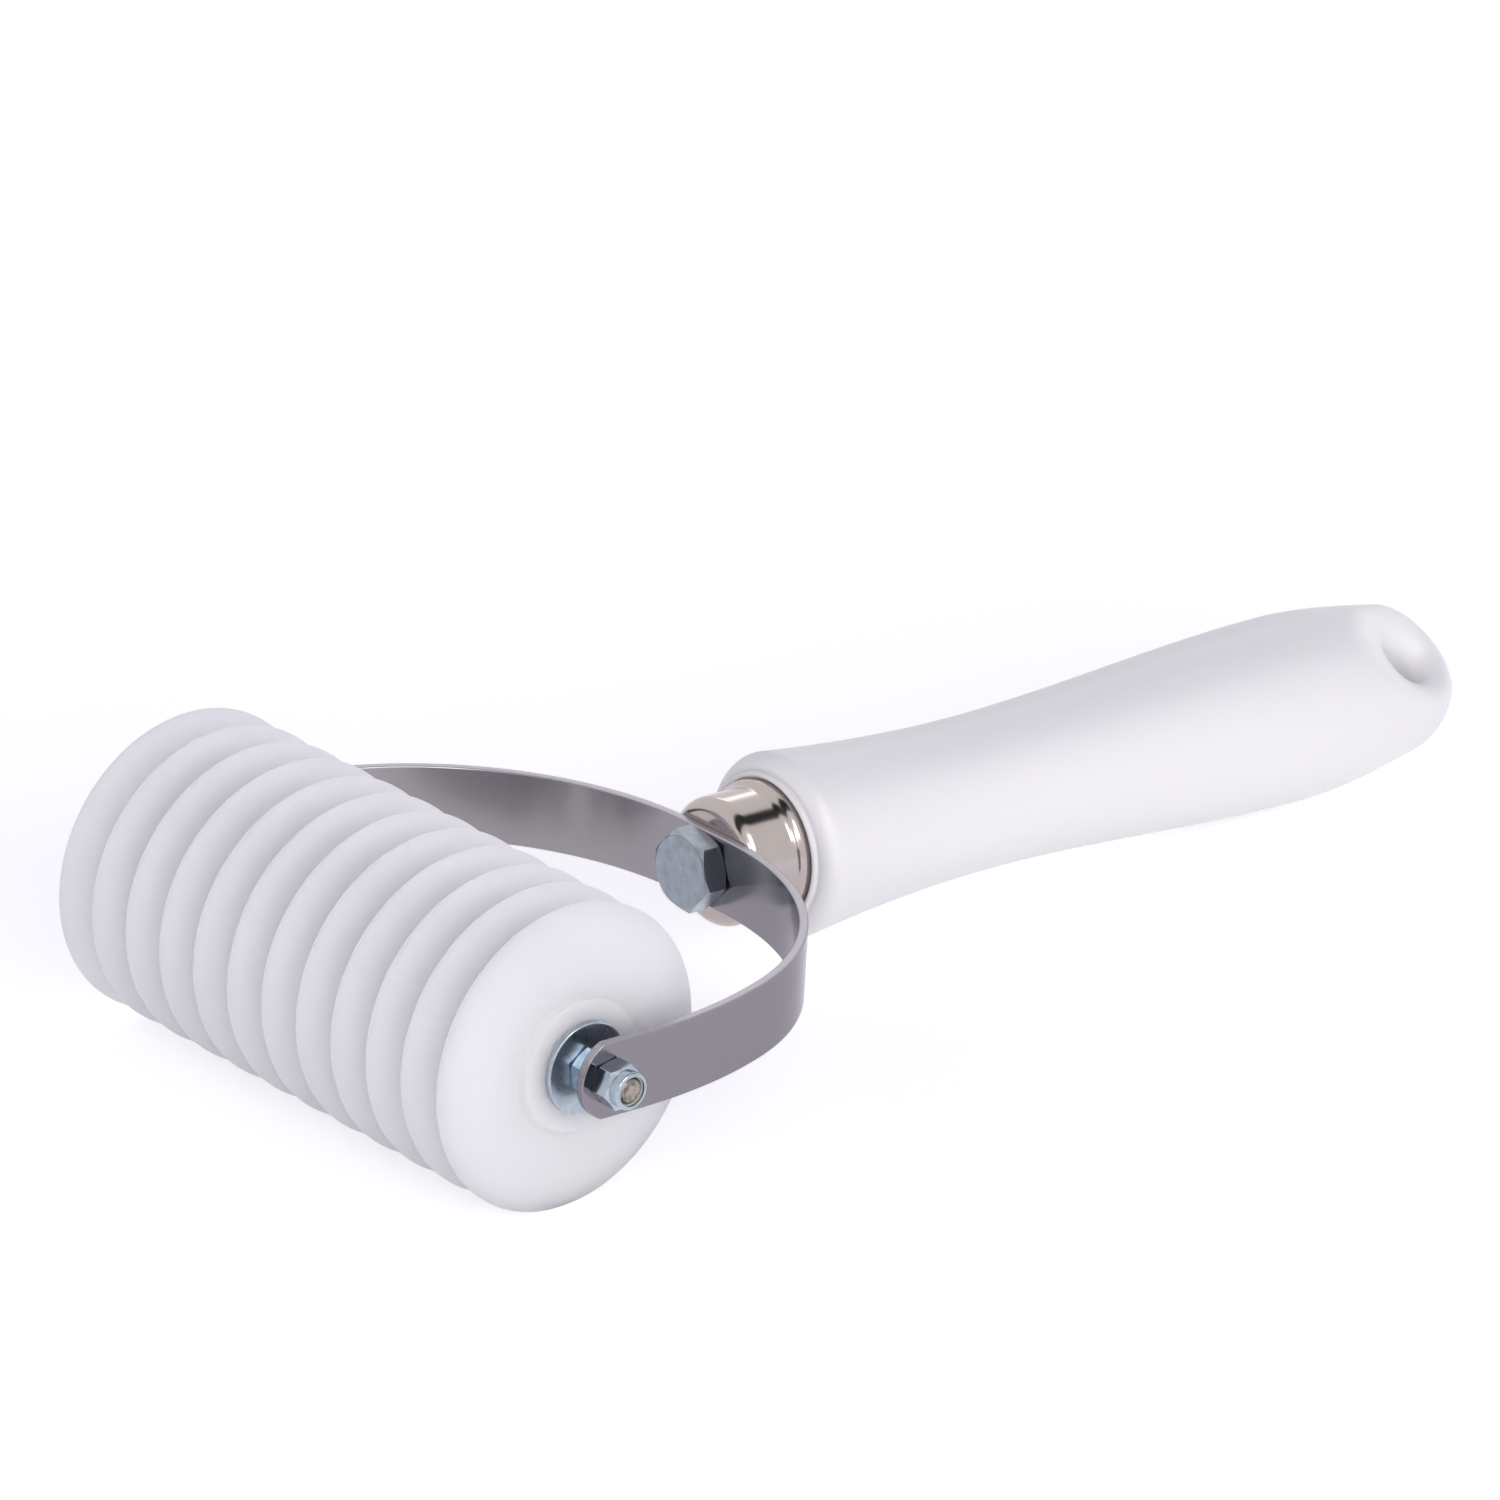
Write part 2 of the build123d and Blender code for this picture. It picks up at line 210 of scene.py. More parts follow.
class AxleSettings(bpy.types.PropertyGroup):
    """Sizes and finish of the axle, nuts and washers"""
    thread_pitch: length("Thread pitch", "Advance of the axle's thread in one turn", 0.8)
    thread_depth: length("Thread depth", "Radial depth of the axle's thread", 0.45)
    end_chamfer: length("End chamfer", "Chamfer on the axle's ends", 0.4)
    thread_gap: length("Thread gap", "Radial gap between axle and nut", 0.05)
    washer_hole: length("Washer hole", "Radius of the washer's hole", 2.65)
    washer_round: length("Washer round", "Rounding of the washer's punched edge", 0.4)
    nut_flats: length("Nut across flats", "Width of both kinds of nut", 8.0)
    chamfer_share: number("Chamfer share", "Share of the half width where the corners' chamfer begins", 0.95)
    nut_edge: length("Nut edge", "Rounding of the inner nuts' edges", 0.15)
    lock_edge: length("Lock nut edge", "Rounding of the lock nuts' edges", 0.12)
    inner_turn: turn("Inner nut turn", "Turn of the inner nuts about the axle", 7.7)
    lock_turn: turn("Lock nut turn", "Turn of the lock nuts about the axle", -18.6)
    hex_height: length("Hexagon height", "Height of the lock nut's hexagon", 4.2)
    collar_radius: length("Collar radius", "Radius of the lock nut's collar", 3.65)
    collar_round: length("Collar round", "Rounding of the collar's rim", 0.6)
    crimp: length("Crimp", "How far the collar turns in over the ring", 0.45)
    ring_width: length("Ring width", "Radial width of the soft ring", 0.75)
    ring_height: length("Ring height", "Height of the soft ring", 1.7)
    zinc: colour("Zinc", "Bright zinc plating with a blue passivation", "#B4C0CB")
    rod_steel: colour("Rod steel", "Bare steel on the axle's cut ends", "#B3ABA0")
    nylon: colour("Nylon", "Soft ring in the lock nut", "#BFC2B6")


class ForkSettings(bpy.types.PropertyGroup):
    """Sizes and finish of the fork strap, its bolt and the ferrule"""
    strap_width: length("Strap width", "Width of the strip", 15.0)
    strap_thickness: length("Strap thickness", "Thickness of the strip", 1.8)
    strap_round: length("Strap round", "Rounding of the strip's edges", 0.3)
    arm_place: length("Arm place", "From the middle to an arm's middle plane", 68.0)
    reach: length("Reach", "Axle centre to the strap's middle plane", 81.1)
    middle_flat: length("Middle flat", "Straight stretch at the bolt", 12.0)
    arm_flat: length("Arm flat", "Straight stretch behind the axle", 8.0)
    bow_turn: turn("Bow turn", "Angle of the main bend", 70.0)
    tip: length("Tip", "Axle centre to the tip", 6.5)
    tip_radius: length("Tip radius", "Radius of the rounded tip", 8.1)
    axle_hole: length("Axle hole", "Radius of the holes for the axle", 2.65)
    bolt_hole: length("Bolt hole", "Radius of the hole for the bolt", 4.15)
    bolt_radius: length("Bolt radius", "Radius of the bolt's thread", 4.0)
    bolt_length: length("Bolt length", "Length under the head", 45.0)
    bolt_flats: length("Bolt across flats", "Width of the bolt's head", 14.4)
    bolt_head: length("Bolt head", "Height of the bolt's head", 5.3)
    bolt_chamfer: number("Bolt chamfer", "Share of the half width where the head's chamfer begins", 0.985)
    bolt_edge: length("Bolt edge", "Rounding of the head's edges", 0.35)
    bolt_turn: turn("Bolt turn", "Turn of the head about the handle's axis", 12.0)
    bolt_pitch: length("Bolt pitch", "Advance of the bolt's thread in one turn", 1.25)
    bolt_thread: length("Bolt thread", "Radial depth of the bolt's thread", 0.7)
    ferrule_radius: length("Ferrule radius", "Outer radius of the tube", 12.75)
    ferrule_length: length("Ferrule length", "From the strap to the handle's seat", 14.2)
    ferrule_wall: length("Ferrule wall", "Thickness of the tube", 1.0)
    ferrule_front: length("Ferrule front", "Thickness of the front wall", 1.4)
    ferrule_shoulder: length("Ferrule shoulder", "Rounding of the front edge", 2.8)
    flare_length: length("Flare length", "Length over which the tube widens", 2.6)
    flare_height: length("Flare height", "How much wider the tube gets", 1.15)
    flare_edge: length("Flare edge", "Straight rim behind the flare", 1.5)
    # Painted reflection: between these places the strip's colour grows lighter towards the left end, standing
    # in for brighter surroundings mirrored there, not a real change of polish.
    brightening_start: length("Polish start", "Place along the axle where the polish begins", 20.0)
    brightening_end: length("Polish end", "Place along the axle where the polish is full", -50.0)
    steel: colour("Steel", "Stainless strip with a satin finish", "#8F8B91")
    # Painted reflection: the lighter colour the strip takes towards its left end.
    steel_painted_bright: colour("Bright steel", "The same strip where it is polished more, on the left", "#ADA7AB")
    # Partly painted light: the sheared edge is rougher, and its paler colour stands in for light scattered
    # off it.
    painted_steel_edge: colour("Steel edge", "Sheared and tumbled edge of the strip, rougher and paler", "#B2AEB6")
    bolt_zinc: colour("Bolt zinc", "Zinc plating on the bolt", "#A0A9B2")
    nickel: colour("Nickel", "Polished nickel plating", "#BBB1AE")


class HandleSettings(bpy.types.PropertyGroup):
    """Sizes and finish of the handle"""
    length: length("Length", "From the ferrule's seat to the butt", 176.2)
    seat_gap: length("Seat gap", "Radial gap round and inside the ferrule", 0.2)
    lip_width: length("Lip width", "Width of the lip round the ferrule", 1.1)
    lip_height: length("Lip height", "Lip crest in front of the seat", 0.8)
    groove_depth: length("Groove depth", "Groove behind the lip's crest", 1.1)
    groove_round: length("Groove round", "Hollow rounding of the groove", 0.4)
    shoulder_radius: length("Shoulder radius", "Widest radius at the front", 18.3)
    shoulder_round: length("Shoulder round", "Rounding of the front edge", 3.5)
    shoulder_slope: turn("Shoulder slope", "Taper just behind the shoulder", 7.0)
    waist_radius: length("Waist radius", "Smallest radius of the grip", 15.2)
    waist_place: length("Waist place", "From the seat to the waist", 51.8)
    belly_radius: length("Belly radius", "Largest radius of the grip", 18.6)
    belly_setback: length("Belly setback", "From the butt's tip to the belly", 41.6)
    butt_radius: length("Butt radius", "Radius of the round butt", 15.6)
    butt_slope: turn("Butt slope", "Taper where the round butt begins", 10.0)
    hole_radius: length("Hole radius", "Radius of the hanging hole", hanging_hole["dims"]["r_mm"])
    hole_straight: length("Hole straight", "Between the throats of the two mouths, along the bore", 8.0)
    hole_setback: length("Hole setback", "From the butt's tip to the hole's axis", 13.4)
    hole_flare: length("Hole flare", "Radius of the mouth's rounding", 5.5)
    hole_spread: turn("Hole spread", "Slope of the mouth from its own axis", 66.0)
    hole_lean: turn("Hole lean", "Lean of each mouth's axis towards the butt", 15.0)
    hole_turn: turn("Hole turn", "Turn of the hole's axis about the handle", 52.0)
    mouth_round: length("Mouth round", "Softness of the mouth's rim", 2.5)
    plastic: colour("Plastic", "White moulded polypropylene", "#F8F7F6")
    brass: colour("Brass", "Threaded bush in the handle", "#C8A765")


class StageSettings(bpy.types.PropertyGroup):
    """Camera, lamps and floor"""
    azimuth: turn("Azimuth", "Camera's direction round the part, from the front", 49.078)
    elevation: turn("Elevation", "Camera's height above the horizon", 23.525)
    roll: turn("Roll", "Camera's turn about its own axis", 1.127)
    distance: length("Distance", "Camera to the point it looks at", 2069.24)
    aim: bpy.props.FloatVectorProperty(
        name="Aim", description="Point that the camera looks at", subtype="XYZ", unit="LENGTH",
        default=(0.033488, -0.058308, 0.066273))
    lens: number("Lens", "Focal length in millimetres on a 36 mm sensor", 267.71)
    floor: colour("Floor", "Pale floor", "#F4F4F5")


class CutterSettings(bpy.types.PropertyGroup):
    """All settings of the pasta cutter"""
    wheels: bpy.props.PointerProperty(type=WheelSettings)
    axle: bpy.props.PointerProperty(type=AxleSettings)
    fork: bpy.props.PointerProperty(type=ForkSettings)
    handle: bpy.props.PointerProperty(type=HandleSettings)
    stage: bpy.props.PointerProperty(type=StageSettings)


# Outlines and meshes

def arc(centre, radius, start, end, steps):
    """Points of an arc, with its angles in degrees."""
    angles = [math.radians(start + (end - start) * step / steps) for step in range(steps + 1)]
    return [(centre[0] + radius * math.cos(a), centre[1] + radius * math.sin(a)) for a in angles]


def on_x(along, radius, angle):
    """Point about the axle."""
    return along, radius * math.cos(angle), radius * math.sin(angle)


def on_y(along, radius, angle):
    """Point about the handle's axis."""
    return radius * math.cos(angle), along, radius * math.sin(angle)


def turned_rings(outline, place, steps):
    """Rings of an outline of (along, radius) turned about an axis. A point on the axis stays one point."""
    rings = []
    for along, radius in outline:
        if radius == 0:
            rings.append([place(along, 0, 0)])
        else:
            rings.append([place(along, radius, 2 * math.pi * step / steps) for step in range(steps)])
    return rings


def ring_mesh(rings, closed):
    """Vertices and faces between neighbouring rings, and from the last to the first if closed."""
    vertices = [point for ring in rings for point in ring]
    starts = np.cumsum([0] + [len(ring) for ring in rings]).tolist()
    pairs = list(zip(range(len(rings)), range(1, len(rings))))
    if closed:
        pairs.append((len(rings) - 1, 0))
    faces = []
    for one, two in pairs:
        a, b = starts[one], starts[two]
        steps = max(len(rings[one]), len(rings[two]))
        for step in range(steps):
            after = (step + 1) % steps
            if len(rings[one]) == 1:
                faces.append((a, b + step, b + after))
            elif len(rings[two]) == 1:
                faces.append((a + step, b, a + after))
            else:
                faces.append((a + step, b + step, b + after, a + after))
    return vertices, faces


def hexagon_radius(flats, angle):
    """Distance from a hexagon's centre to its side, with a side square to the angle 0."""
    sixth = math.pi / 3
    return flats / 2 / math.cos((angle + sixth / 2) % sixth - sixth / 2)


def hexagon_rings(flats, low, high, circle, place):
    """The two rings where a hexagon's sides meet the chamfers of its corners."""
    rings = []
    for level, inward in ((low, 1), (high, -1)):
        ring = []
        for step in range(HEXAGON_STEPS):
            angle = 2 * math.pi * step / HEXAGON_STEPS
            radius = hexagon_radius(flats, angle)
            ring.append(place(level + inward * (radius - circle) * CHAMFER_SLOPE, radius, angle))
        rings.append(ring)
    return rings


def new_object(name, data):
    """Object that holds a mesh, a lamp or a camera, in the scene."""
    made = bpy.data.objects.new(name, data)
    bpy.context.scene.collection.objects.link(made)
    return made


def dress_mesh(name, mesh, material, sharp=32):
    """Object of a mesh, merged, smoothed and laid down. Edges that turn by more degrees stay sharp."""
    shape = bmesh.new()
    shape.from_mesh(mesh)
    bmesh.ops.remove_doubles(shape, verts=shape.verts, dist=SAME_POINT)
    bmesh.ops.recalc_face_normals(shape, faces=shape.faces)
    for edge in shape.edges:
        edge.smooth = edge.calc_face_angle(0) < math.radians(sharp)
    for face in shape.faces:
        face.smooth = True
    shape.to_mesh(mesh)
    shape.free()
    mesh.transform(LAY_DOWN)
    mesh.materials.clear()
    mesh.materials.append(material)
    return new_object(name, mesh)


def new_piece(name, rings, material, closed=True):
    """Object from rings of points in the tool's own frame, laid down in the part's frame."""
    vertices, faces = ring_mesh(rings, closed)
    mesh = bpy.data.meshes.new(name)
    mesh.from_pydata([tuple(v) for v in vertices], [], faces)
    return dress_mesh(name, mesh, material)


def round_edges(piece, width, limit=25):
    """Rounds a piece's edges that turn by more degrees than the limit."""
    bevel = piece.modifiers.new("Edge rounding", "BEVEL")
    bevel.width = width
    bevel.segments = 3
    bevel.limit_method = "ANGLE"
    bevel.angle_limit = math.radians(limit)
    weights = piece.modifiers.new("Even shading", "WEIGHTED_NORMAL")
    weights.keep_sharp = True
    weights.weight = 80


def stands_for(piece, node, body="frame"):
    """Hands a finished piece to the frame in a node's place."""
    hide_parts(node)
    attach(piece, body)


# Node trees

def add_node(tree, kind, inputs=None, **settings):
    """Adds a node with its settings. An input takes a value, a socket, or a node for its first output."""
    node = tree.nodes.new(kind)
    for name, value in settings.items():
        setattr(node, name, value)
    for name, value in (inputs or {}).items():
        source = value.outputs[0] if isinstance(value, bpy.types.Node) else value
        if isinstance(source, bpy.types.NodeSocket):
            tree.links.new(source, node.inputs[name])
        else:
            node.inputs[name].default_value = source
    return node


def new_material(name):
    """Empty node material and its tree."""
    material = bpy.data.materials.new(name)
    material.use_nodes = True
    material.node_tree.nodes.clear()
    return material, material.node_tree


def new_finish(name):
    """Empty material, its tree, and the tool's own coordinates, which patterns follow."""
    material, tree = new_material(name)
    place = add_node(tree, "ShaderNodeTexCoord").outputs["Object"]
    moved = add_node(tree, "ShaderNodeVectorMath", {0: place, 1: axle_centre}, operation="SUBTRACT")
    turned = add_node(tree, "ShaderNodeMapping", {"Vector": moved, "Rotation": (rest_tilt, 0, 0)})
    return material, tree, turned


def paint(rgb, share=1.0):
    """A colour as a shader takes it, made darker by a share."""
    return tuple(part * share for part in rgb) + (1.0,)


def grain(tree, place, spacing, detail=2.0, stretch=(1, 1, 1), rough=0.5):
    """Noise whose blobs are about one spacing wide, in metres, and longer where stretch is small."""
    scaled = add_node(tree, "ShaderNodeVectorMath", {0: place, 1: stretch}, operation="MULTIPLY")
    return add_node(tree, "ShaderNodeTexNoise", {
        "Vector": scaled, "Scale": 1 / spacing, "Detail": detail, "Roughness": rough})


def blotches(tree, place, spacing, detail):
    """Noise with its contrast raised, for stains and tears with clear edges."""
    clouds = grain(tree, place, spacing, detail, rough=0.6)
    return add_node(tree, "ShaderNodeMapRange", {"Value": clouds, "From Min": 0.35, "From Max": 0.65})


def coat(tree, colours, rough, relief, inputs=None):
    """Ends a material in a shader whose colour, roughness and relief follow patterns.

    Colours are a pattern and its two colours, rough is a pattern and its two roughnesses or one number,
    relief is a pattern of height, its depth in metres and its strength, and inputs are the shader's others.
    """
    base = add_node(tree, "ShaderNodeMix", {0: colours[0], 6: colours[1], 7: colours[2]}, data_type="RGBA")
    if isinstance(rough, tuple):
        rough = add_node(tree, "ShaderNodeMapRange", {
            "Value": rough[0], "To Min": rough[1], "To Max": rough[2]})
    bumps = add_node(tree, "ShaderNodeBump", {
        "Height": relief[0], "Distance": relief[1], "Strength": relief[2]})
    shader = add_node(tree, "ShaderNodeBsdfPrincipled", {
        "Base Color": base.outputs[2], "Roughness": rough, "Normal": bumps, **(inputs or {})})
    add_node(tree, "ShaderNodeOutputMaterial", {"Surface": shader})


def seen_directly(tree):
    """1 for rays from the camera, a mirror or glass, and 0 for those that only gather light."""
    path = add_node(tree, "ShaderNodeLightPath").outputs
    seen = add_node(tree, "ShaderNodeMath", {
        0: path["Is Camera Ray"], 1: path["Is Glossy Ray"]}, operation="MAXIMUM")
    return add_node(tree, "ShaderNodeMath", {0: seen, 1: path["Is Transmission Ray"]}, operation="MAXIMUM")


# Finishes

def polyethylene(size):
    """Turned white polyethylene: milky, soft shine, faint turning rings, and a painted glow at its thin edge,
    a lighter colour standing in for light passing through.
    """
    material, tree, place = new_finish("white polyethylene")
    flat = add_node(tree, "ShaderNodeVectorMath", {0: place, 1: (0, 1, 1)}, operation="MULTIPLY")
    reach = add_node(tree, "ShaderNodeVectorMath", {0: flat}, operation="LENGTH").outputs["Value"]
    # Painted glow: towards the rim the colour turns lighter, standing in for light that passes through the
    # thin edge.
    thin = add_node(tree, "ShaderNodeMapRange", {
        "Value": reach, "From Min": size.radius * size.thin_share, "From Max": size.radius})
    # A lathe leaves marks 0.1 mm apart on such wheels. They are drawn 0.35 mm apart, so that they show.
    turns = add_node(tree, "ShaderNodeMath", {0: reach, 1: 2 * math.pi / (0.35 * MM)}, operation="MULTIPLY")
    marks = add_node(tree, "ShaderNodeMath", {0: turns}, operation="SINE")
    # Light wanders far inside the milky plastic, which evens out the shade between the wheels.
    coat(tree, (thin, paint(size.plastic), paint(size.painted_edge_glow)),
         rough=(grain(tree, place, 1.5 * MM, 3), 0.36, 0.46), relief=(marks, 0.0015 * MM, 0.5),
         inputs={"IOR": 1.54, "Specular IOR Level": 0.45, "Subsurface Weight": 1.0,
                 "Subsurface Radius": (1.0, 0.97, 1.0), "Subsurface Scale": 24 * MM})
    return material


def polypropylene(size):
    """Moulded white polypropylene: smooth, satin, with a faint orange-peel skin of 2 mm waves."""
    material, tree, place = new_finish("white polypropylene")
    coat(tree, (grain(tree, place, 25 * MM, 2), paint(size.plastic, 0.97), paint(size.plastic)),
         rough=(grain(tree, place, 1.2 * MM, 3), 0.3, 0.38),
         relief=(grain(tree, place, 2.2 * MM, 2), 0.02 * MM, 0.6),
         inputs={"IOR": 1.49, "Specular IOR Level": 0.45, "Subsurface Weight": 0.3,
                 "Subsurface Radius": (1.0, 0.92, 0.9), "Subsurface Scale": 2 * MM})
    return material


def stainless_strip(size):
    """Rolled satin stainless strip: fine lines along it and a soft mirror, dull when seen edgeways. Its
    colour is lightened towards the left as a painted reflection, and its sheared edge is paler as painted
    light.
    """
    material, tree, place = new_finish("satin stainless strip")
    # Satin lines lie 0.05 mm apart. They are drawn 0.4 mm apart, so that they show.
    lines = grain(tree, place, 0.4 * MM, 3, stretch=(0.01, 0.01, 1))
    cloud = grain(tree, place, 9 * MM, 3)
    # Painted reflection: the colour grows lighter towards the left end, standing in for brighter surroundings
    # mirrored there, not a real change of polish.
    across = add_node(tree, "ShaderNodeSeparateXYZ", {"Vector": place}).outputs["X"]
    painted_brightening = add_node(tree, "ShaderNodeMapRange", {
        "Value": across, "From Min": size.brightening_end, "From Max": size.brightening_start,
        "To Min": 1, "To Max": 0})
    face = add_node(tree, "ShaderNodeMix", {
        0: cloud, 6: paint(size.steel, 0.93), 7: paint(size.steel)}, data_type="RGBA")
    face = add_node(tree, "ShaderNodeMix", {
        0: painted_brightening, 6: face.outputs[2], 7: paint(size.steel_painted_bright)}, data_type="RGBA")
    # The strip stands on edge, so what faces up or down is its sheared edge. Its rougher finish is real,
    # while its paler colour is painted light standing in for light scattered off the edge.
    normal = add_node(tree, "ShaderNodeNewGeometry").outputs["Normal"]
    upward = add_node(tree, "ShaderNodeSeparateXYZ", {"Vector": normal}).outputs["Z"]
    level = add_node(tree, "ShaderNodeMath", {0: upward}, operation="ABSOLUTE")
    edge = add_node(tree, "ShaderNodeMapRange", {"Value": level, "From Min": 0.3, "From Max": 0.8})
    coat(tree, (edge, face.outputs[2], paint(size.painted_steel_edge)),
         rough=(edge, 0.17, 0.4), relief=(lines, 0.001 * MM, 0.15),
         inputs={"Metallic": 1.0, "Specular Tint": (0.75, 0.74, 0.77, 1.0)})
    return material


def zinc_plate(name, rgb, rough):
    """Bright zinc plating on pressed steel: a cool mirror with cloudy stains and a speckled skin."""
    material, tree, place = new_finish(name)
    stains = blotches(tree, place, 2.5 * MM, 4)
    # The speckle of the plating is some 0.1 mm wide, drawn 0.5 mm wide so that it shows.
    coat(tree, (stains, paint(rgb, 0.82), paint(rgb)), rough=(stains, rough + 0.1, rough),
         relief=(grain(tree, place, 0.5 * MM, 3), 0.01 * MM, 0.4), inputs={"Metallic": 1.0})
    return material


def cut_steel(size):
    """Bare steel where a threaded rod was cut off: dull and brownish, torn by the blade."""
    material, tree, place = new_finish("bare steel of a cut rod")
    tears = blotches(tree, place, 1.3 * MM, 3)
    coat(tree, (tears, paint(size.rod_steel, 0.35), paint(size.rod_steel)),
         rough=(tears, 0.5, 0.3), relief=(tears, 0.15 * MM, 0.6), inputs={"Metallic": 1.0})
    return material


def nickel_plate(size):
    """Polished nickel plating: a warm, deep mirror with the faintest rings from buffing."""
    material, tree, place = new_finish("polished nickel plating")
    # Buffing rings lie 0.05 mm apart. They are drawn 0.3 mm apart, so that they show.
    rings = grain(tree, place, 0.3 * MM, 3, stretch=(0.02, 1, 0.02))
    coat(tree, (grain(tree, place, 6 * MM, 2), paint(size.nickel, 0.94), paint(size.nickel)),
         rough=(rings, 0.13, 0.2), relief=(rings, 0.001 * MM, 0.25), inputs={"Metallic": 1.0})
    return material


def nylon(size):
    """Natural nylon, moulded: a dull, slightly green white with a fine grain."""
    material, tree, place = new_finish("natural nylon")
    # The grain of the mould is finer than 0.1 mm, drawn 0.6 mm wide so that it shows.
    specks = grain(tree, place, 0.6 * MM, 3)
    coat(tree, (specks, paint(size.nylon, 0.85), paint(size.nylon)), rough=0.5,
         relief=(specks, 0.01 * MM, 1.0))
    return material


def turned_brass(size):
    """Turned brass: warm, with fine rings from the lathe, 0.2 mm apart."""
    material, tree, place = new_finish("turned brass")
    rings = grain(tree, place, 0.2 * MM, 2, stretch=(0.02, 1, 0.02))
    coat(tree, (rings, paint(size.brass, 0.85), paint(size.brass)), rough=0.3,
         relief=(rings, 0.004 * MM, 1.0), inputs={"Metallic": 1.0})
    return material


def painted_floor(size):
    """Pale matt floor that shows the camera and the metals a white ground under its own shadow."""
    material, tree = new_material("matt white floor")
    cloud = grain(tree, add_node(tree, "ShaderNodeTexCoord").outputs["Object"], 40 * MM, 2)
    colours = add_node(tree, "ShaderNodeMix", {
        0: cloud, 6: paint(size.floor, 0.985), 7: paint(size.floor)}, data_type="RGBA")
    matt = add_node(tree, "ShaderNodeBsdfDiffuse", {"Color": colours.outputs[2]})
    lift = add_node(tree, "ShaderNodeMath", {0: seen_directly(tree), 1: FLOOR_LIFT}, operation="MULTIPLY")
    glow = add_node(tree, "ShaderNodeEmission", {"Strength": lift})
    both = add_node(tree, "ShaderNodeAddShader", {0: matt, 1: glow})
    add_node(tree, "ShaderNodeOutputMaterial", {"Surface": both})
    return material


# Geometry Nodes

def new_tree(name, inputs):
    """Geometry node group with a geometry input and output and the named inputs, and its group input."""
    tree = bpy.data.node_groups.new(name, "GeometryNodeTree")
    tree.interface.new_socket("Geometry", in_out="INPUT", socket_type="NodeSocketGeometry")
    tree.interface.new_socket("Geometry", in_out="OUTPUT", socket_type="NodeSocketGeometry")
    for label, kind in inputs.items():
        tree.interface.new_socket(label, in_out="INPUT", socket_type="NodeSocket" + kind)
    return tree, tree.nodes.new("NodeGroupInput").outputs


def finish_tree(tree, geometry, material):
    """Ends a tree in real geometry with its material."""
    real = add_node(tree, "GeometryNodeRealizeInstances", {"Geometry": geometry})
    coated = add_node(tree, "GeometryNodeSetMaterial", {"Geometry": real, "Material": material})
    add_node(tree, "NodeGroupOutput", {"Geometry": coated})


def run_tree(name, base_mesh, tree, values):
    """Plain mesh that a tree makes of a base mesh with the given inputs."""
    carrier = new_object(name, base_mesh)
    modifier = carrier.modifiers.new(tree.name, "NODES")
    modifier.node_group = tree
    for item in tree.interface.items_tree:
        if item.in_out == "INPUT" and item.name in values:
            modifier[item.identifier] = values[item.name]
    carrier.update_tag()
    graph = bpy.context.evaluated_depsgraph_get()
    mesh = bpy.data.meshes.new_from_object(carrier.evaluated_get(graph), depsgraph=graph)
    bpy.data.objects.remove(carrier)
    return mesh


def wheel_row_tree():
    """Row of like wheels along X, of which one is picked, so that each can ride on its own body."""
    tree, given = new_tree("Wheel row", {
        "Count": "Int", "Pitch": "Float", "Pick": "Int", "Material": "Material"})
    gaps = add_node(tree, "ShaderNodeMath", {0: given["Count"], 1: 1.0}, operation="SUBTRACT")
    half = add_node(tree, "ShaderNodeMath", {0: gaps, 1: -0.5}, operation="MULTIPLY")
    first = add_node(tree, "ShaderNodeMath", {0: half, 1: given["Pitch"]}, operation="MULTIPLY")
    start = add_node(tree, "ShaderNodeCombineXYZ", {"X": first})
    step = add_node(tree, "ShaderNodeCombineXYZ", {"X": given["Pitch"]})
    row = add_node(tree, "GeometryNodeMeshLine", {
        "Count": given["Count"], "Start Location": start, "Offset": step}, mode="OFFSET")
    index = add_node(tree, "GeometryNodeInputIndex")
    picked = add_node(tree, "FunctionNodeCompare", {
        2: index, 3: given["Pick"]}, data_type="INT", operation="EQUAL")
    wheels = add_node(tree, "GeometryNodeInstanceOnPoints", {
        "Points": row, "Selection": picked, "Instance": given["Geometry"]})
    finish_tree(tree, wheels, given["Material"])
    return tree


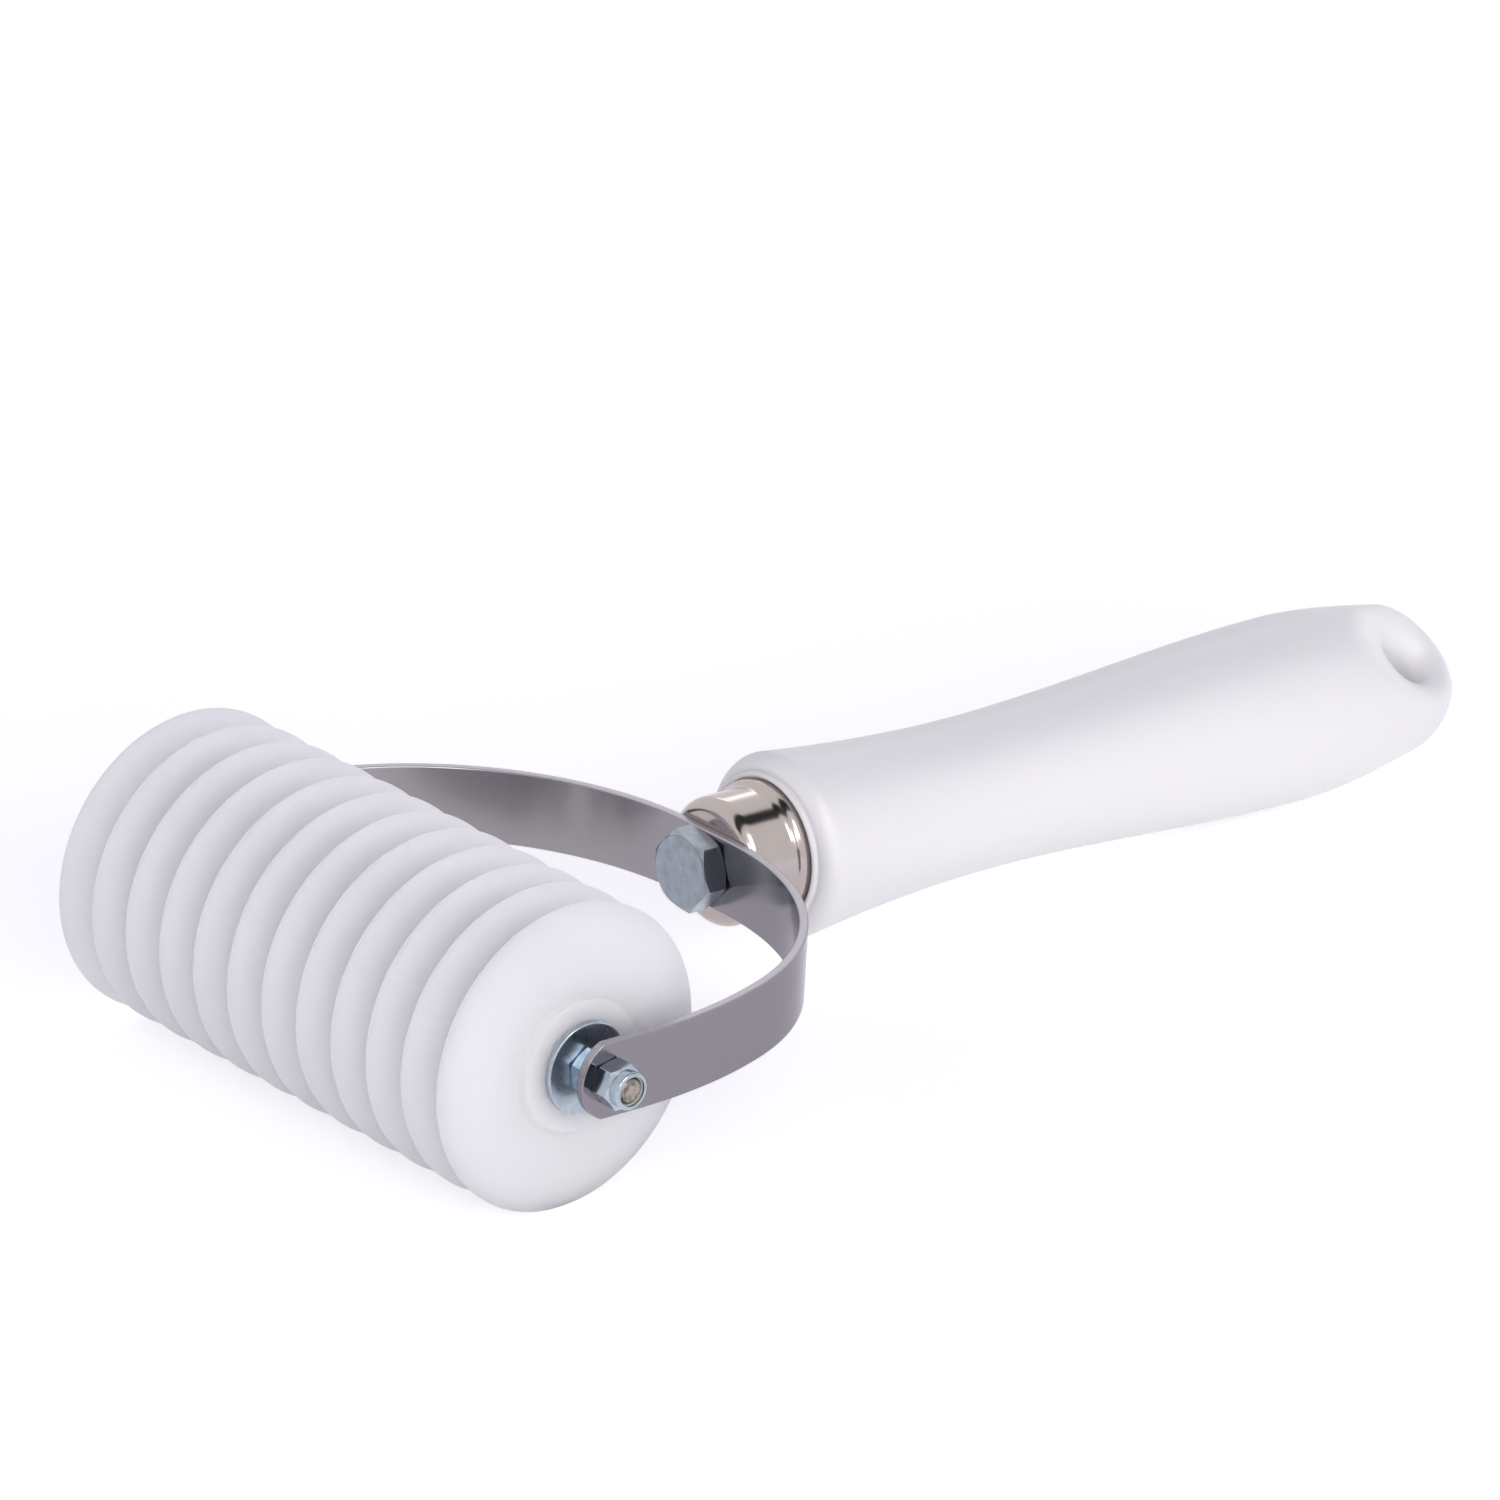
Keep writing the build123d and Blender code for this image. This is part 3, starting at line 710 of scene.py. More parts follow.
def thread_tree():
    """Screw thread: a long cylinder along Z whose side follows the thread's turns and its end chamfers."""
    tree, given = new_tree("Screw thread", {
        "Radius": "Float", "Length": "Float", "Pitch": "Float", "Depth": "Float", "Chamfer": "Float",
        "Around": "Int", "Along": "Int", "Material": "Material"})
    bar = add_node(tree, "GeometryNodeMeshCylinder", {
        "Vertices": given["Around"], "Side Segments": given["Along"], "Radius": given["Radius"],
        "Depth": given["Length"]}, fill_type="TRIANGLE_FAN")
    place = add_node(tree, "GeometryNodeInputPosition")
    x, y, z = add_node(tree, "ShaderNodeSeparateXYZ", {0: place}).outputs
    angle = add_node(tree, "ShaderNodeMath", {0: y, 1: x}, operation="ARCTAN2")
    around = add_node(tree, "ShaderNodeMath", {0: angle, 1: 2 * math.pi}, operation="DIVIDE")
    climb = add_node(tree, "ShaderNodeMath", {0: z, 1: given["Pitch"]}, operation="DIVIDE")
    turns = add_node(tree, "ShaderNodeMath", {0: around, 1: climb}, operation="ADD")
    wave = add_node(tree, "ShaderNodeMath", {0: turns, 1: 0.5}, operation="PINGPONG")
    # The crest and the root are an eighth of the pitch wide, as on a metric thread.
    flank = add_node(tree, "ShaderNodeMapRange", {"Value": wave, "From Min": 1 / 16, "From Max": 7 / 16})
    cut = add_node(tree, "ShaderNodeMath", {0: flank, 1: given["Depth"]}, operation="MULTIPLY")
    side = add_node(tree, "ShaderNodeMath", {0: given["Radius"], 1: cut}, operation="SUBTRACT")
    # Near an end the side follows the chamfer.
    half = add_node(tree, "ShaderNodeMath", {0: given["Length"], 1: 0.5}, operation="MULTIPLY")
    height = add_node(tree, "ShaderNodeMath", {0: z}, operation="ABSOLUTE")
    from_end = add_node(tree, "ShaderNodeMath", {0: half, 1: height}, operation="SUBTRACT")
    tip = add_node(tree, "ShaderNodeMath", {0: given["Radius"], 1: given["Chamfer"]}, operation="SUBTRACT")
    cone = add_node(tree, "ShaderNodeMath", {0: tip, 1: from_end}, operation="ADD")
    radius = add_node(tree, "ShaderNodeMath", {0: side, 1: cone}, operation="MINIMUM")
    share = add_node(tree, "ShaderNodeMath", {0: radius, 1: given["Radius"]}, operation="DIVIDE")
    # Only the side moves, and not the middle of each end.
    flat = add_node(tree, "ShaderNodeCombineXYZ", {"X": x, "Y": y})
    reach = add_node(tree, "ShaderNodeVectorMath", {0: flat}, operation="LENGTH").outputs["Value"]
    middle = add_node(tree, "ShaderNodeMath", {0: given["Radius"], 1: 0.5}, operation="MULTIPLY")
    outer = add_node(tree, "ShaderNodeMath", {0: reach, 1: middle}, operation="GREATER_THAN")
    shrunk = add_node(tree, "ShaderNodeVectorMath", {0: flat, "Scale": share}, operation="SCALE")
    level = add_node(tree, "ShaderNodeCombineXYZ", {"Z": z})
    target = add_node(tree, "ShaderNodeVectorMath", {0: shrunk, 1: level}, operation="ADD")
    threaded = add_node(tree, "GeometryNodeSetPosition", {
        "Geometry": bar, "Selection": outer, "Position": target})
    finish_tree(tree, threaded, given["Material"])
    return tree


def threaded_bar(name, material, rows_per_turn, around, **sizes):
    """Mesh of a threaded bar along Z, centred on the origin, with its sizes as the tree names them."""
    along = round(sizes["Length"] / sizes["Pitch"] * rows_per_turn)
    return run_tree(name, bpy.data.meshes.new(name), thread_tree(), {
        **sizes, "Around": around, "Along": along, "Material": material})


# Pieces

def turned_piece(name, outline, place, steps, material, side=1):
    """Object from a closed outline of (along, radius) turned about an axis, on a side of the part."""
    outline = [(side * along, radius) for along, radius in outline]
    return new_piece(name, turned_rings(outline, place, steps), material)


def wheel_outline(size):
    """Closed outline of a wheel, as (along the axle, radius)."""
    half = size.width / 2
    flank = half - size.boss_height
    root = size.boss_radius + size.boss_fillet
    rise = flank - size.edge_width / 2
    dome = ((size.radius - root) ** 2 + rise ** 2) / (2 * rise)
    sweep = math.degrees(math.asin((size.radius - root) / dome))
    side = [(half - size.bore_chamfer, size.bore_radius), (half, size.bore_radius + size.bore_chamfer)]
    side += arc((half - size.boss_round, size.boss_radius - size.boss_round), size.boss_round, 0, 90, steps=4)
    side += arc((flank + size.boss_fillet, root), size.boss_fillet, -90, -180, steps=8)
    side += arc((flank - dome, root), dome, 0, sweep, steps=40)[1:]
    return side + [(-along, radius) for along, radius in reversed(side)]


class WheelsOperator(bpy.types.Operator):
    """Makes the cutting wheels, each on its own body"""
    bl_idname = "pasta_cutter.wheels"
    bl_label = "Cutting wheels"

    def execute(self, context):
        size = context.scene.pasta_cutter.wheels
        material = polyethylene(size)
        rings = turned_rings(wheel_outline(size), on_x, WHEEL_STEPS)
        vertices, faces = ring_mesh(rings, closed=True)
        pattern = bpy.data.meshes.new("wheel pattern")
        pattern.from_pydata(vertices, [], faces)
        tree = wheel_row_tree()
        for pick, body in enumerate(WHEELS):
            mesh = run_tree(body, pattern, tree, {
                "Count": len(WHEELS), "Pitch": wheel_pitch, "Pick": pick, "Material": material})
            piece = dress_mesh("turned_" + body, mesh, material)
            stands_for(piece, body, body)
        bpy.data.meshes.remove(pattern)
        return {"FINISHED"}


class AxleOperator(bpy.types.Operator):
    """Makes the threaded axle"""
    bl_idname = "pasta_cutter.axle"
    bl_label = "Threaded axle"

    def execute(self, context):
        size = context.scene.pasta_cutter.axle
        span = span_of("axle_rod")
        material = cut_steel(size)
        mesh = threaded_bar(
            "threaded axle", material, rows_per_turn=6, around=40, Radius=span.z / 2, Length=span.x,
            Pitch=size.thread_pitch, Depth=size.thread_depth, Chamfer=size.end_chamfer)
        mesh.transform(Matrix.Rotation(math.pi / 2, 4, "Y"))
        piece = dress_mesh("threaded_axle", mesh, material, sharp=40)
        stands_for(piece, "axle_rod")
        return {"FINISHED"}


def axle_side(node):
    """Distances from the middle at which a node begins and ends along the axle."""
    low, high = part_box(node)
    return sorted((abs(low.x), abs(high.x)))


class WashersOperator(bpy.types.Operator):
    """Makes the wide washers beside the end wheels"""
    bl_idname = "pasta_cutter.washers"
    bl_label = "Washers"

    def execute(self, context):
        size = context.scene.pasta_cutter.axle
        material = zinc_plate("zinc on punched washer", size.zinc, 0.25)
        curve = size.washer_round
        for name, side in SIDES.items():
            near, far = axle_side("washer_" + name)
            radius = span_of("washer_" + name).y / 2
            # The punch rounds the outer face's edge and leaves the inner one nearly sharp.
            outline = [(near, size.washer_hole), (near, radius - curve / 4), (near + curve / 4, radius)]
            outline += arc((far - curve, radius - curve), curve, 90, 0, steps=6)
            outline += [(far, size.washer_hole)]
            piece = turned_piece("punched_washer_" + name, outline, on_x, WASHER_STEPS, material, side)
            stands_for(piece, "washer_" + name)
        return {"FINISHED"}


def nut_bore(size):
    """Radius of the nuts' bore round the axle."""
    return span_of("axle_rod").z / 2 + size.thread_gap


def nut_piece(name, material, size, near, top, rest, side, angle, edge):
    """Nut with a chamfered mouth, a hexagon up to its top and the rest of its outline, turned by an angle."""
    mouth = size.end_chamfer
    bore = nut_bore(size)
    circle = size.nut_flats / 2 * size.chamfer_share
    start = [(near + mouth, bore), (near, bore + mouth), (near, circle)]
    rings = turned_rings(start, on_x, HEXAGON_STEPS)
    rings += hexagon_rings(size.nut_flats, near, top, circle, on_x)
    rings += turned_rings([(top, circle)] + rest, on_x, HEXAGON_STEPS)
    turning = Matrix.Rotation(angle, 3, "X")
    rings = [[turning @ Vector((side * x, y, z)) for x, y, z in ring] for ring in rings]
    piece = new_piece(name, rings, material)
    round_edges(piece, edge)
    return piece


class InnerNutsOperator(bpy.types.Operator):
    """Makes the plain nuts between washer and fork arm"""
    bl_idname = "pasta_cutter.inner_nuts"
    bl_label = "Inner nuts"

    def execute(self, context):
        size = context.scene.pasta_cutter.axle
        material = zinc_plate("zinc on pressed nut", size.zinc, 0.14)
        bore = nut_bore(size)
        mouth = size.end_chamfer
        for name, side in SIDES.items():
            near, far = axle_side("inner_nut_" + name)
            piece = nut_piece(
                "plain_nut_" + name, material, size, near, far, [(far, bore + mouth), (far - mouth, bore)],
                side, size.inner_turn, size.nut_edge)
            stands_for(piece, "inner_nut_" + name)
        return {"FINISHED"}


class LockNutsOperator(bpy.types.Operator):
    """Makes the lock nuts outside the fork arms, with their soft rings"""
    bl_idname = "pasta_cutter.lock_nuts"
    bl_label = "Lock nuts"

    def execute(self, context):
        size = context.scene.pasta_cutter.axle
        plating = zinc_plate("zinc on lock nut", size.zinc, 0.12)
        soft = nylon(size)
        bore = nut_bore(size)
        pocket = bore + size.ring_width
        rim = pocket - size.crimp
        outer = pocket - size.thread_gap
        lip = size.thread_gap * 3
        collar, curve = size.collar_radius, size.collar_round
        for name, side in SIDES.items():
            near, far = axle_side("lock_nut_" + name)
            top = near + size.hex_height
            ring_top = far - size.crimp
            ring_floor = ring_top - size.ring_height
            rest = [(top, collar)] + arc((far - curve, collar - curve), curve, 90, 0, steps=8)
            rest += [(far, rim), (ring_top, rim), (ring_top, pocket)]
            rest += [(ring_floor, pocket), (ring_floor, bore)]
            piece = nut_piece(
                "lock_nut_body_" + name, plating, size, near, top, rest, side, size.lock_turn, size.lock_edge)
            stands_for(piece, "lock_nut_" + name)
            ring = [(ring_floor, bore), (ring_floor, outer), (ring_top - lip, outer)]
            ring += arc((ring_top - lip, outer - lip), lip, 90, 0, steps=3)
            ring += arc((ring_top - lip, bore + lip), lip, 90, 180, steps=3)
            piece = turned_piece("soft_ring_" + name, ring, on_x, RING_STEPS, soft, side)
            stands_for(piece, "lock_ring_" + name)
        return {"FINISHED"}


def holed_plate(outline, centre, radius):
    """Flat sheet between a round hole and an outline, as vertices and faces."""
    centre = np.array(centre)
    outer = np.array(outline)
    away = outer - centre
    inner = centre + radius * away / np.linalg.norm(away, axis=1)[:, None]
    layers = [inner + (outer - inner) * share for share in np.linspace(0, 1, HOLE_RINGS + 1)]
    count = len(outer)
    faces = []
    for layer in range(HOLE_RINGS):
        a, b = layer * count, (layer + 1) * count
        for step in range(count):
            after = (step + 1) % count
            faces.append((a + step, b + step, b + after, a + after))
    return np.concatenate(layers), faces


def walk(corners, counts):
    """Points along straight stretches between corners, up to but without the last."""
    points = []
    for start, end, steps in zip(np.array(corners), np.array(corners[1:]), counts):
        points += [tuple(start + (end - start) * step / steps) for step in range(steps)]
    return points


def flat_strap(size, half_length):
    """Flat sheets of the strap before bending, as (along the strip from its middle, across it)."""
    half = size.strap_width / 2
    flat = size.middle_flat / 2
    # The middle stretch, round the bolt's hole.
    corners = [(flat, -half), (flat, half), (-flat, half), (-flat, -half), (flat, -half)]
    border = walk(corners, (STRAP_ACROSS, STRAP_ALONG, STRAP_ACROSS, STRAP_ALONG))
    middle = holed_plate(border, (0, 0), size.bolt_hole)
    # The arm's rounded tip, round the axle's hole.
    hole = half_length - size.tip
    pad = hole - size.arm_flat
    centre = half_length - size.tip_radius
    edge = math.asin(half / size.tip_radius)
    corner = centre + size.tip_radius * math.cos(edge)
    border = walk([(pad, half), (pad, -half), (corner, -half)], (STRAP_ACROSS, STRAP_ALONG))
    border += arc((centre, 0), size.tip_radius, -math.degrees(edge), math.degrees(edge), steps=28)[:-1]
    border += walk([(corner, half), (pad, half)], (STRAP_ALONG,))
    tip = holed_plate(border, (hole, 0), size.axle_hole)
    # The plain stretch between the two, which takes the bends.
    columns = np.linspace(flat, pad, BEND_ROWS)
    rows = np.linspace(-half, half, STRAP_ACROSS + 1)
    grid = np.array([(s, w) for s in columns for w in rows])
    count = len(rows)
    faces = [(a * count + b, (a + 1) * count + b, (a + 1) * count + b + 1, a * count + b + 1)
             for a in range(len(columns) - 1) for b in range(STRAP_ACROSS)]
    one_side = [tip, (grid, faces)]
    other_side = [(points * (-1, 1), [face[::-1] for face in faces]) for points, faces in one_side]
    return [middle] + one_side + other_side


def strap_bends(size):
    """Radii of the main bend and of the arm's bend, which turn a quarter between them."""
    along = size.arm_place - size.middle_flat / 2
    down = size.reach - size.arm_flat
    sine, cosine = math.sin(size.bow_turn), math.cos(size.bow_turn)
    gap = sine + cosine - 1
    return (along * cosine - down * (1 - sine)) / gap, (down * sine - along * (1 - cosine)) / gap


def bent(size, s, height):
    """Place of a point at a distance along the strip and a height over its middle plane."""
    bow, arm = strap_bends(size)
    side = -1 if s < 0 else 1
    s = abs(s) - size.middle_flat / 2
    x, y, heading = size.middle_flat / 2, size.reach, 0.0
    for radius, angle in ((bow, size.bow_turn), (arm, math.pi / 2 - size.bow_turn)):
        part = min(max(s / radius, 0), angle)
        x += radius * (math.sin(heading + part) - math.sin(heading))
        y += radius * (math.cos(heading + part) - math.cos(heading))
        heading += part
        s -= part * radius
    x += s * math.cos(heading)
    y -= s * math.sin(heading)
    return side * (x + height * math.sin(heading)), y + height * math.cos(heading)


class StrapOperator(bpy.types.Operator):
    """Makes the bent strap of the fork"""
    bl_idname = "pasta_cutter.strap"
    bl_label = "Fork strap"

    def execute(self, context):
        size = context.scene.pasta_cutter.fork
        bow, arm = strap_bends(size)
        half_length = size.middle_flat / 2 + bow * size.bow_turn + arm * (math.pi / 2 - size.bow_turn)
        half_length += size.arm_flat + size.tip
        shape = bmesh.new()
        for points, faces in flat_strap(size, half_length):
            corners = [shape.verts.new((s, w, 0)) for s, w in points]
            for face in faces:
                shape.faces.new([corners[v] for v in face])
        bmesh.ops.remove_doubles(shape, verts=shape.verts, dist=SAME_CORNER)
        raised = bmesh.ops.extrude_face_region(shape, geom=shape.faces[:])
        for vertex in raised["geom"]:
            if isinstance(vertex, bmesh.types.BMVert):
                vertex.co.z = size.strap_thickness
        for vertex in shape.verts:
            s, w, height = vertex.co
            x, y = bent(size, s, height - size.strap_thickness / 2)
            vertex.co = (x, y, w)
        mesh = bpy.data.meshes.new("bent strap")
        shape.to_mesh(mesh)
        shape.free()
        piece = dress_mesh("bent_strap", mesh, stainless_strip(size), sharp=40)
        round_edges(piece, size.strap_round, limit=40)
        stands_for(piece, "fork_strap")
        return {"FINISHED"}


class BoltOperator(bpy.types.Operator):
    """Makes the hexagon bolt between fork and handle"""
    bl_idname = "pasta_cutter.bolt"
    bl_label = "Fork bolt"

    def execute(self, context):
        size = context.scene.pasta_cutter.fork
        material = zinc_plate("zinc on bolt", size.bolt_zinc, 0.16)
        front = size.reach - size.strap_thickness / 2
        low = front - size.bolt_head
        circle = size.bolt_flats / 2 * size.bolt_chamfer
        rings = turned_rings([(low, 0), (low, circle / 2), (low, circle)], on_y, HEXAGON_STEPS)
        rings += hexagon_rings(size.bolt_flats, low, front, circle, on_y)
        rings += turned_rings([(front, circle), (front, size.bolt_radius), (front, 0)], on_y, HEXAGON_STEPS)
        # The head's turn is counted from where a side faces up, 30 degrees from how it is drawn.
        turning = Matrix.Rotation(size.bolt_turn + math.radians(30), 3, "Y")
        rings = [[turning @ Vector(point) for point in ring] for ring in rings]
        piece = new_piece("hexagon_head", rings, material, closed=False)
        round_edges(piece, size.bolt_edge)
        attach(piece, "frame")
        mesh = threaded_bar(
            "bolt shank", material, rows_per_turn=8, around=48, Radius=size.bolt_radius,
            Length=size.bolt_length, Pitch=size.bolt_pitch, Depth=size.bolt_thread, Chamfer=size.bolt_thread)
        middle = Matrix.Translation((0, front + size.bolt_length / 2, 0))
        mesh.transform(middle @ Matrix.Rotation(-math.pi / 2, 4, "X"))
        shank = dress_mesh("threaded_shank", mesh, material, sharp=40)
        stands_for(shank, "fork_bolt")
        return {"FINISHED"}


class FerruleOperator(bpy.types.Operator):
    """Makes the plated ferrule"""
    bl_idname = "pasta_cutter.ferrule"
    bl_label = "Ferrule"

    def execute(self, context):
        size = context.scene.pasta_cutter.fork
        front = size.reach + size.strap_thickness / 2
        floor = front + size.ferrule_front
        back = front + size.ferrule_length
        tube, curve = size.ferrule_radius, size.ferrule_shoulder
        inner = tube - size.ferrule_wall
        wide = tube + size.flare_height
        # Two equal arcs, one hollow and one round, carry the tube out to its wider rim.
        flare = ((size.flare_length / 2) ** 2 + (size.flare_height / 2) ** 2) / size.flare_height
        bend = math.degrees(math.asin(size.flare_length / 2 / flare))
        rim = back - size.flare_edge
        outline = [(front, size.bolt_hole)]
        outline += arc((front + curve, tube - curve), curve, 180, 90, steps=12)
        outline += arc((rim - size.flare_length, tube + flare), flare, -90, -90 + bend, steps=8)
        outline += arc((rim, wide - flare), flare, 90 + bend, 90, steps=8)
        outline += [(back, wide), (back, inner), (floor, inner), (floor, size.bolt_hole)]
        piece = turned_piece("drawn_ferrule", outline, on_y, FERRULE_STEPS, nickel_plate(size))
        stands_for(piece, "ferrule")
        return {"FINISHED"}


def eased(y, start, end):
    """Radius between two places of the grip, each (place, radius, slope), along a smooth curve."""
    run = end[0] - start[0]
    t = (y - start[0]) / run
    return ((1 + 2 * t) * (1 - t) ** 2 * start[1] + t * (1 - t) ** 2 * run * start[2]
            + t ** 2 * (3 - 2 * t) * end[1] - t ** 2 * (1 - t) * run * end[2])


class Grip:
    """Places of the handle's outline along its axis, worked out from its settings."""

    def __init__(self, size, fork):
        self.size = size
        self.fork = fork
        self.seat = fork.reach + fork.strap_thickness / 2 + fork.ferrule_length
        self.end = self.seat + size.length
        self.face = self.seat - size.lip_height + size.groove_depth
        self.ball = self.end - size.butt_radius
        slope = size.shoulder_slope
        shoulder = (
            self.face + size.shoulder_round * (1 + math.sin(slope)),
            size.shoulder_radius - size.shoulder_round * (1 - math.cos(slope)),
            -math.tan(slope))
        waist = (self.seat + size.waist_place, size.waist_radius, 0)
        belly = (self.end - size.belly_setback, size.belly_radius, 0)
        join = (
            self.ball + size.butt_radius * math.sin(size.butt_slope),
            size.butt_radius * math.cos(size.butt_slope),
            -math.tan(size.butt_slope))
        self.knots = [shoulder, waist, belly, join]

    def radius(self, y):
        """Radius of the side at places behind the shoulder and before the round butt."""
        shoulder, waist, belly, join = self.knots
        back = np.where(y < belly[0], eased(y, waist, belly), eased(y, belly, join))
        return np.where(y < waist[0], eased(y, shoulder, waist), back)

    def outline(self, stop):
        """Outline from the bolt's bore round the nose and the lip, and along the side as far as stop."""
        size, fork = self.size, self.fork
        front = fork.reach - fork.strap_thickness / 2
        bore = fork.bolt_hole
        bore_end = front + fork.bolt_length + size.shoulder_round
        nose = front + fork.strap_thickness + fork.ferrule_front + size.seat_gap
        spigot = fork.ferrule_radius - fork.ferrule_wall - size.seat_gap
        mouth = fork.ferrule_radius + fork.flare_height + size.seat_gap
        wall = mouth + size.lip_width
        lip = size.lip_width / 2
        crest = self.seat - size.lip_height + lip
        hollow, curve = size.groove_round, size.shoulder_round
        points = [(bore_end, 0), (bore_end, bore), (nose, bore), (nose, spigot)]
        points += [(self.seat, spigot), (self.seat, mouth)]
        points += arc((crest, mouth + lip), lip, 270, 90, steps=12)
        points += arc((self.face - hollow, wall + hollow), hollow, -90, 0, steps=6)
        centre = (self.face + curve, size.shoulder_radius - curve)
        points += arc(centre, curve, 180, 90 - math.degrees(size.shoulder_slope), steps=14)
        places = np.linspace(self.knots[0][0], stop, GRIP_ROWS)[1:]
        return points + list(zip(places.tolist(), self.radius(places).tolist()))

    def mouth(self, rise, away):
        """Signed depth inside a mouth of the hole, by height above its throat and distance from its axis."""
        size = self.size
        top = size.hole_flare * math.sin(size.hole_spread)
        curve = np.clip(rise, 0, top)
        slope = np.tan(np.arcsin(curve / size.hole_flare))
        wall = size.hole_radius + size.hole_flare - np.sqrt(size.hole_flare ** 2 - curve ** 2)
        wall = wall + np.maximum(rise - top, 0) * math.tan(size.hole_spread)
        below = np.minimum(size.hole_radius - away, rise)
        return np.where(rise < 0, below, (wall - away) / np.sqrt(1 + slope ** 2))

    def depth(self, x, y, z):
        """Signed depth of points against the butt with its hanging hole: below zero is plastic."""
        size = self.size
        join = self.knots[-1][0]
        reach = np.hypot(x, z)
        side = reach - self.radius(np.minimum(y, join))
        ball = np.hypot(reach, y - self.ball) - size.butt_radius
        body = np.where(y < join, side, ball)
        along = x * math.cos(size.hole_turn) + z * math.sin(size.hole_turn)
        across = -x * math.sin(size.hole_turn) + z * math.cos(size.hole_turn)
        back = y - (self.end - size.hole_setback)
        hollow = size.hole_radius - np.hypot(across, back)
        cosine, sine = math.cos(size.hole_lean), math.sin(size.hole_lean)
        for direction in SIDES.values():
            out = direction * along - size.hole_straight / 2
            away = np.hypot(across, back * cosine - out * sine)
            hollow = np.maximum(hollow, self.mouth(out * cosine + back * sine, away))
        # Where the two surfaces come close, their edge is rounded.
        soft = np.maximum(size.mouth_round - np.abs(body - hollow), 0) / size.mouth_round
        return np.maximum(body, hollow) + soft ** 2 * size.mouth_round / 4


def surface_net(level, low, step):
    """Vertices and quads round a sampled field's negative part, with a vertex in each cell it crosses."""
    shape = np.array(level.shape) - 1
    total = np.zeros((*shape, 3))
    hits = np.zeros(tuple(shape))
    crossings = []
    for axis in range(3):
        one = np.moveaxis(level, axis, 0)[:-1]
        two = np.moveaxis(level, axis, 0)[1:]
        found = np.argwhere(np.moveaxis((one < 0) != (two < 0), 0, axis))
        ahead = found.copy()
        ahead[:, axis] += 1
        start = level[tuple(found.T)]
        end = level[tuple(ahead.T)]
        point = found.astype(float)
        point[:, axis] += start / (start - end)
        others = [other for other in range(3) if other != axis]
        cells = []
        for first, second in ((1, 1), (0, 1), (0, 0), (1, 0)):
            cell = found.copy()
            cell[:, others[0]] -= first
            cell[:, others[1]] -= second
            cells.append(cell)
            valid = ((cell >= 0) & (cell < shape)).all(axis=1)
            np.add.at(total, tuple(cell[valid].T), point[valid])
            np.add.at(hits, tuple(cell[valid].T), 1)
        crossings.append((np.stack(cells, axis=1), (start < 0) ^ (axis == 1)))
    number_of = -np.ones(tuple(shape), int)
    used = np.argwhere(hits > 0)
    number_of[tuple(used.T)] = np.arange(len(used))
    vertices = low + step * total[tuple(used.T)] / hits[tuple(used.T)][:, None]
    quads = []
    for cells, flip in crossings:
        valid = ((cells >= 0) & (cells < shape)).all(axis=(1, 2))
        corners = number_of[tuple(np.moveaxis(cells[valid], 2, 0))]
        corners[flip[valid]] = corners[flip[valid]][:, ::-1]
        quads += corners.tolist()
    return vertices, quads


def settle_on(field, points, nudge, rounds=4):
    """Moves points on to the zero surface of a field."""
    for _ in range(rounds):
        here = field(*points.T)
        slope = np.stack([
            (field(*(points + nudge * unit).T) - field(*(points - nudge * unit).T)) / (2 * nudge)
            for unit in np.eye(3)], axis=1)
        # The field is nearly a distance, so its slope is about 1. The least of 0.1 tames level spots.
        points = points - slope * (here / np.maximum((slope ** 2).sum(axis=1), 0.1))[:, None]
    return points


def butt_surface(grip, join):
    """Vertices and quads of the handle behind the join, with the hanging hole through it."""
    size = grip.size
    half = size.belly_radius + 2 * BUTT_CELL
    low = np.array((-half, join + BUTT_CELL / 2, -half))
    spans = (2 * half, size.belly_setback + BUTT_CELL, 2 * half)
    axes = [start + BUTT_CELL * np.arange(math.ceil(span / BUTT_CELL) + 1) for start, span in zip(low, spans)]
    level = grip.depth(*np.meshgrid(*axes, indexing="ij"))
    points, quads = surface_net(level, low, BUTT_CELL)
    return settle_on(grip.depth, points, BUTT_CELL / 10), quads


class HandleOperator(bpy.types.Operator):
    """Makes the moulded handle with its hanging hole, and finishes the bush inside it"""
    bl_idname = "pasta_cutter.handle"
    bl_label = "Handle"

    def execute(self, context):
        settings = context.scene.pasta_cutter
        size = settings.handle
        grip = Grip(size, settings.fork)
        join = grip.end - size.belly_setback
        vertices, faces = ring_mesh(turned_rings(grip.outline(join), on_y, HANDLE_STEPS), closed=False)
        points, quads = butt_surface(grip, join)
        mesh = bpy.data.meshes.new("moulded handle")
        faces += [[corner + len(vertices) for corner in quad] for quad in quads]
        mesh.from_pydata(vertices + points.tolist(), [], faces)
        shape = bmesh.new()
        shape.from_mesh(mesh)
        loose = [vertex for vertex in shape.verts if not vertex.link_faces]
        bmesh.ops.delete(shape, geom=loose, context="VERTS")
        open_edges = [edge for edge in shape.edges if edge.is_boundary]
        bmesh.ops.bridge_loops(shape, edges=open_edges)
        shape.to_mesh(mesh)
        shape.free()
        piece = dress_mesh("moulded_handle", mesh, polypropylene(size), sharp=50)
        stands_for(piece, "handle")
        bush = frame["nodes"]["handle_bush"]
        bush.data.materials.clear()
        bush.data.materials.append(turned_brass(size))
        return {"FINISHED"}


# Stage

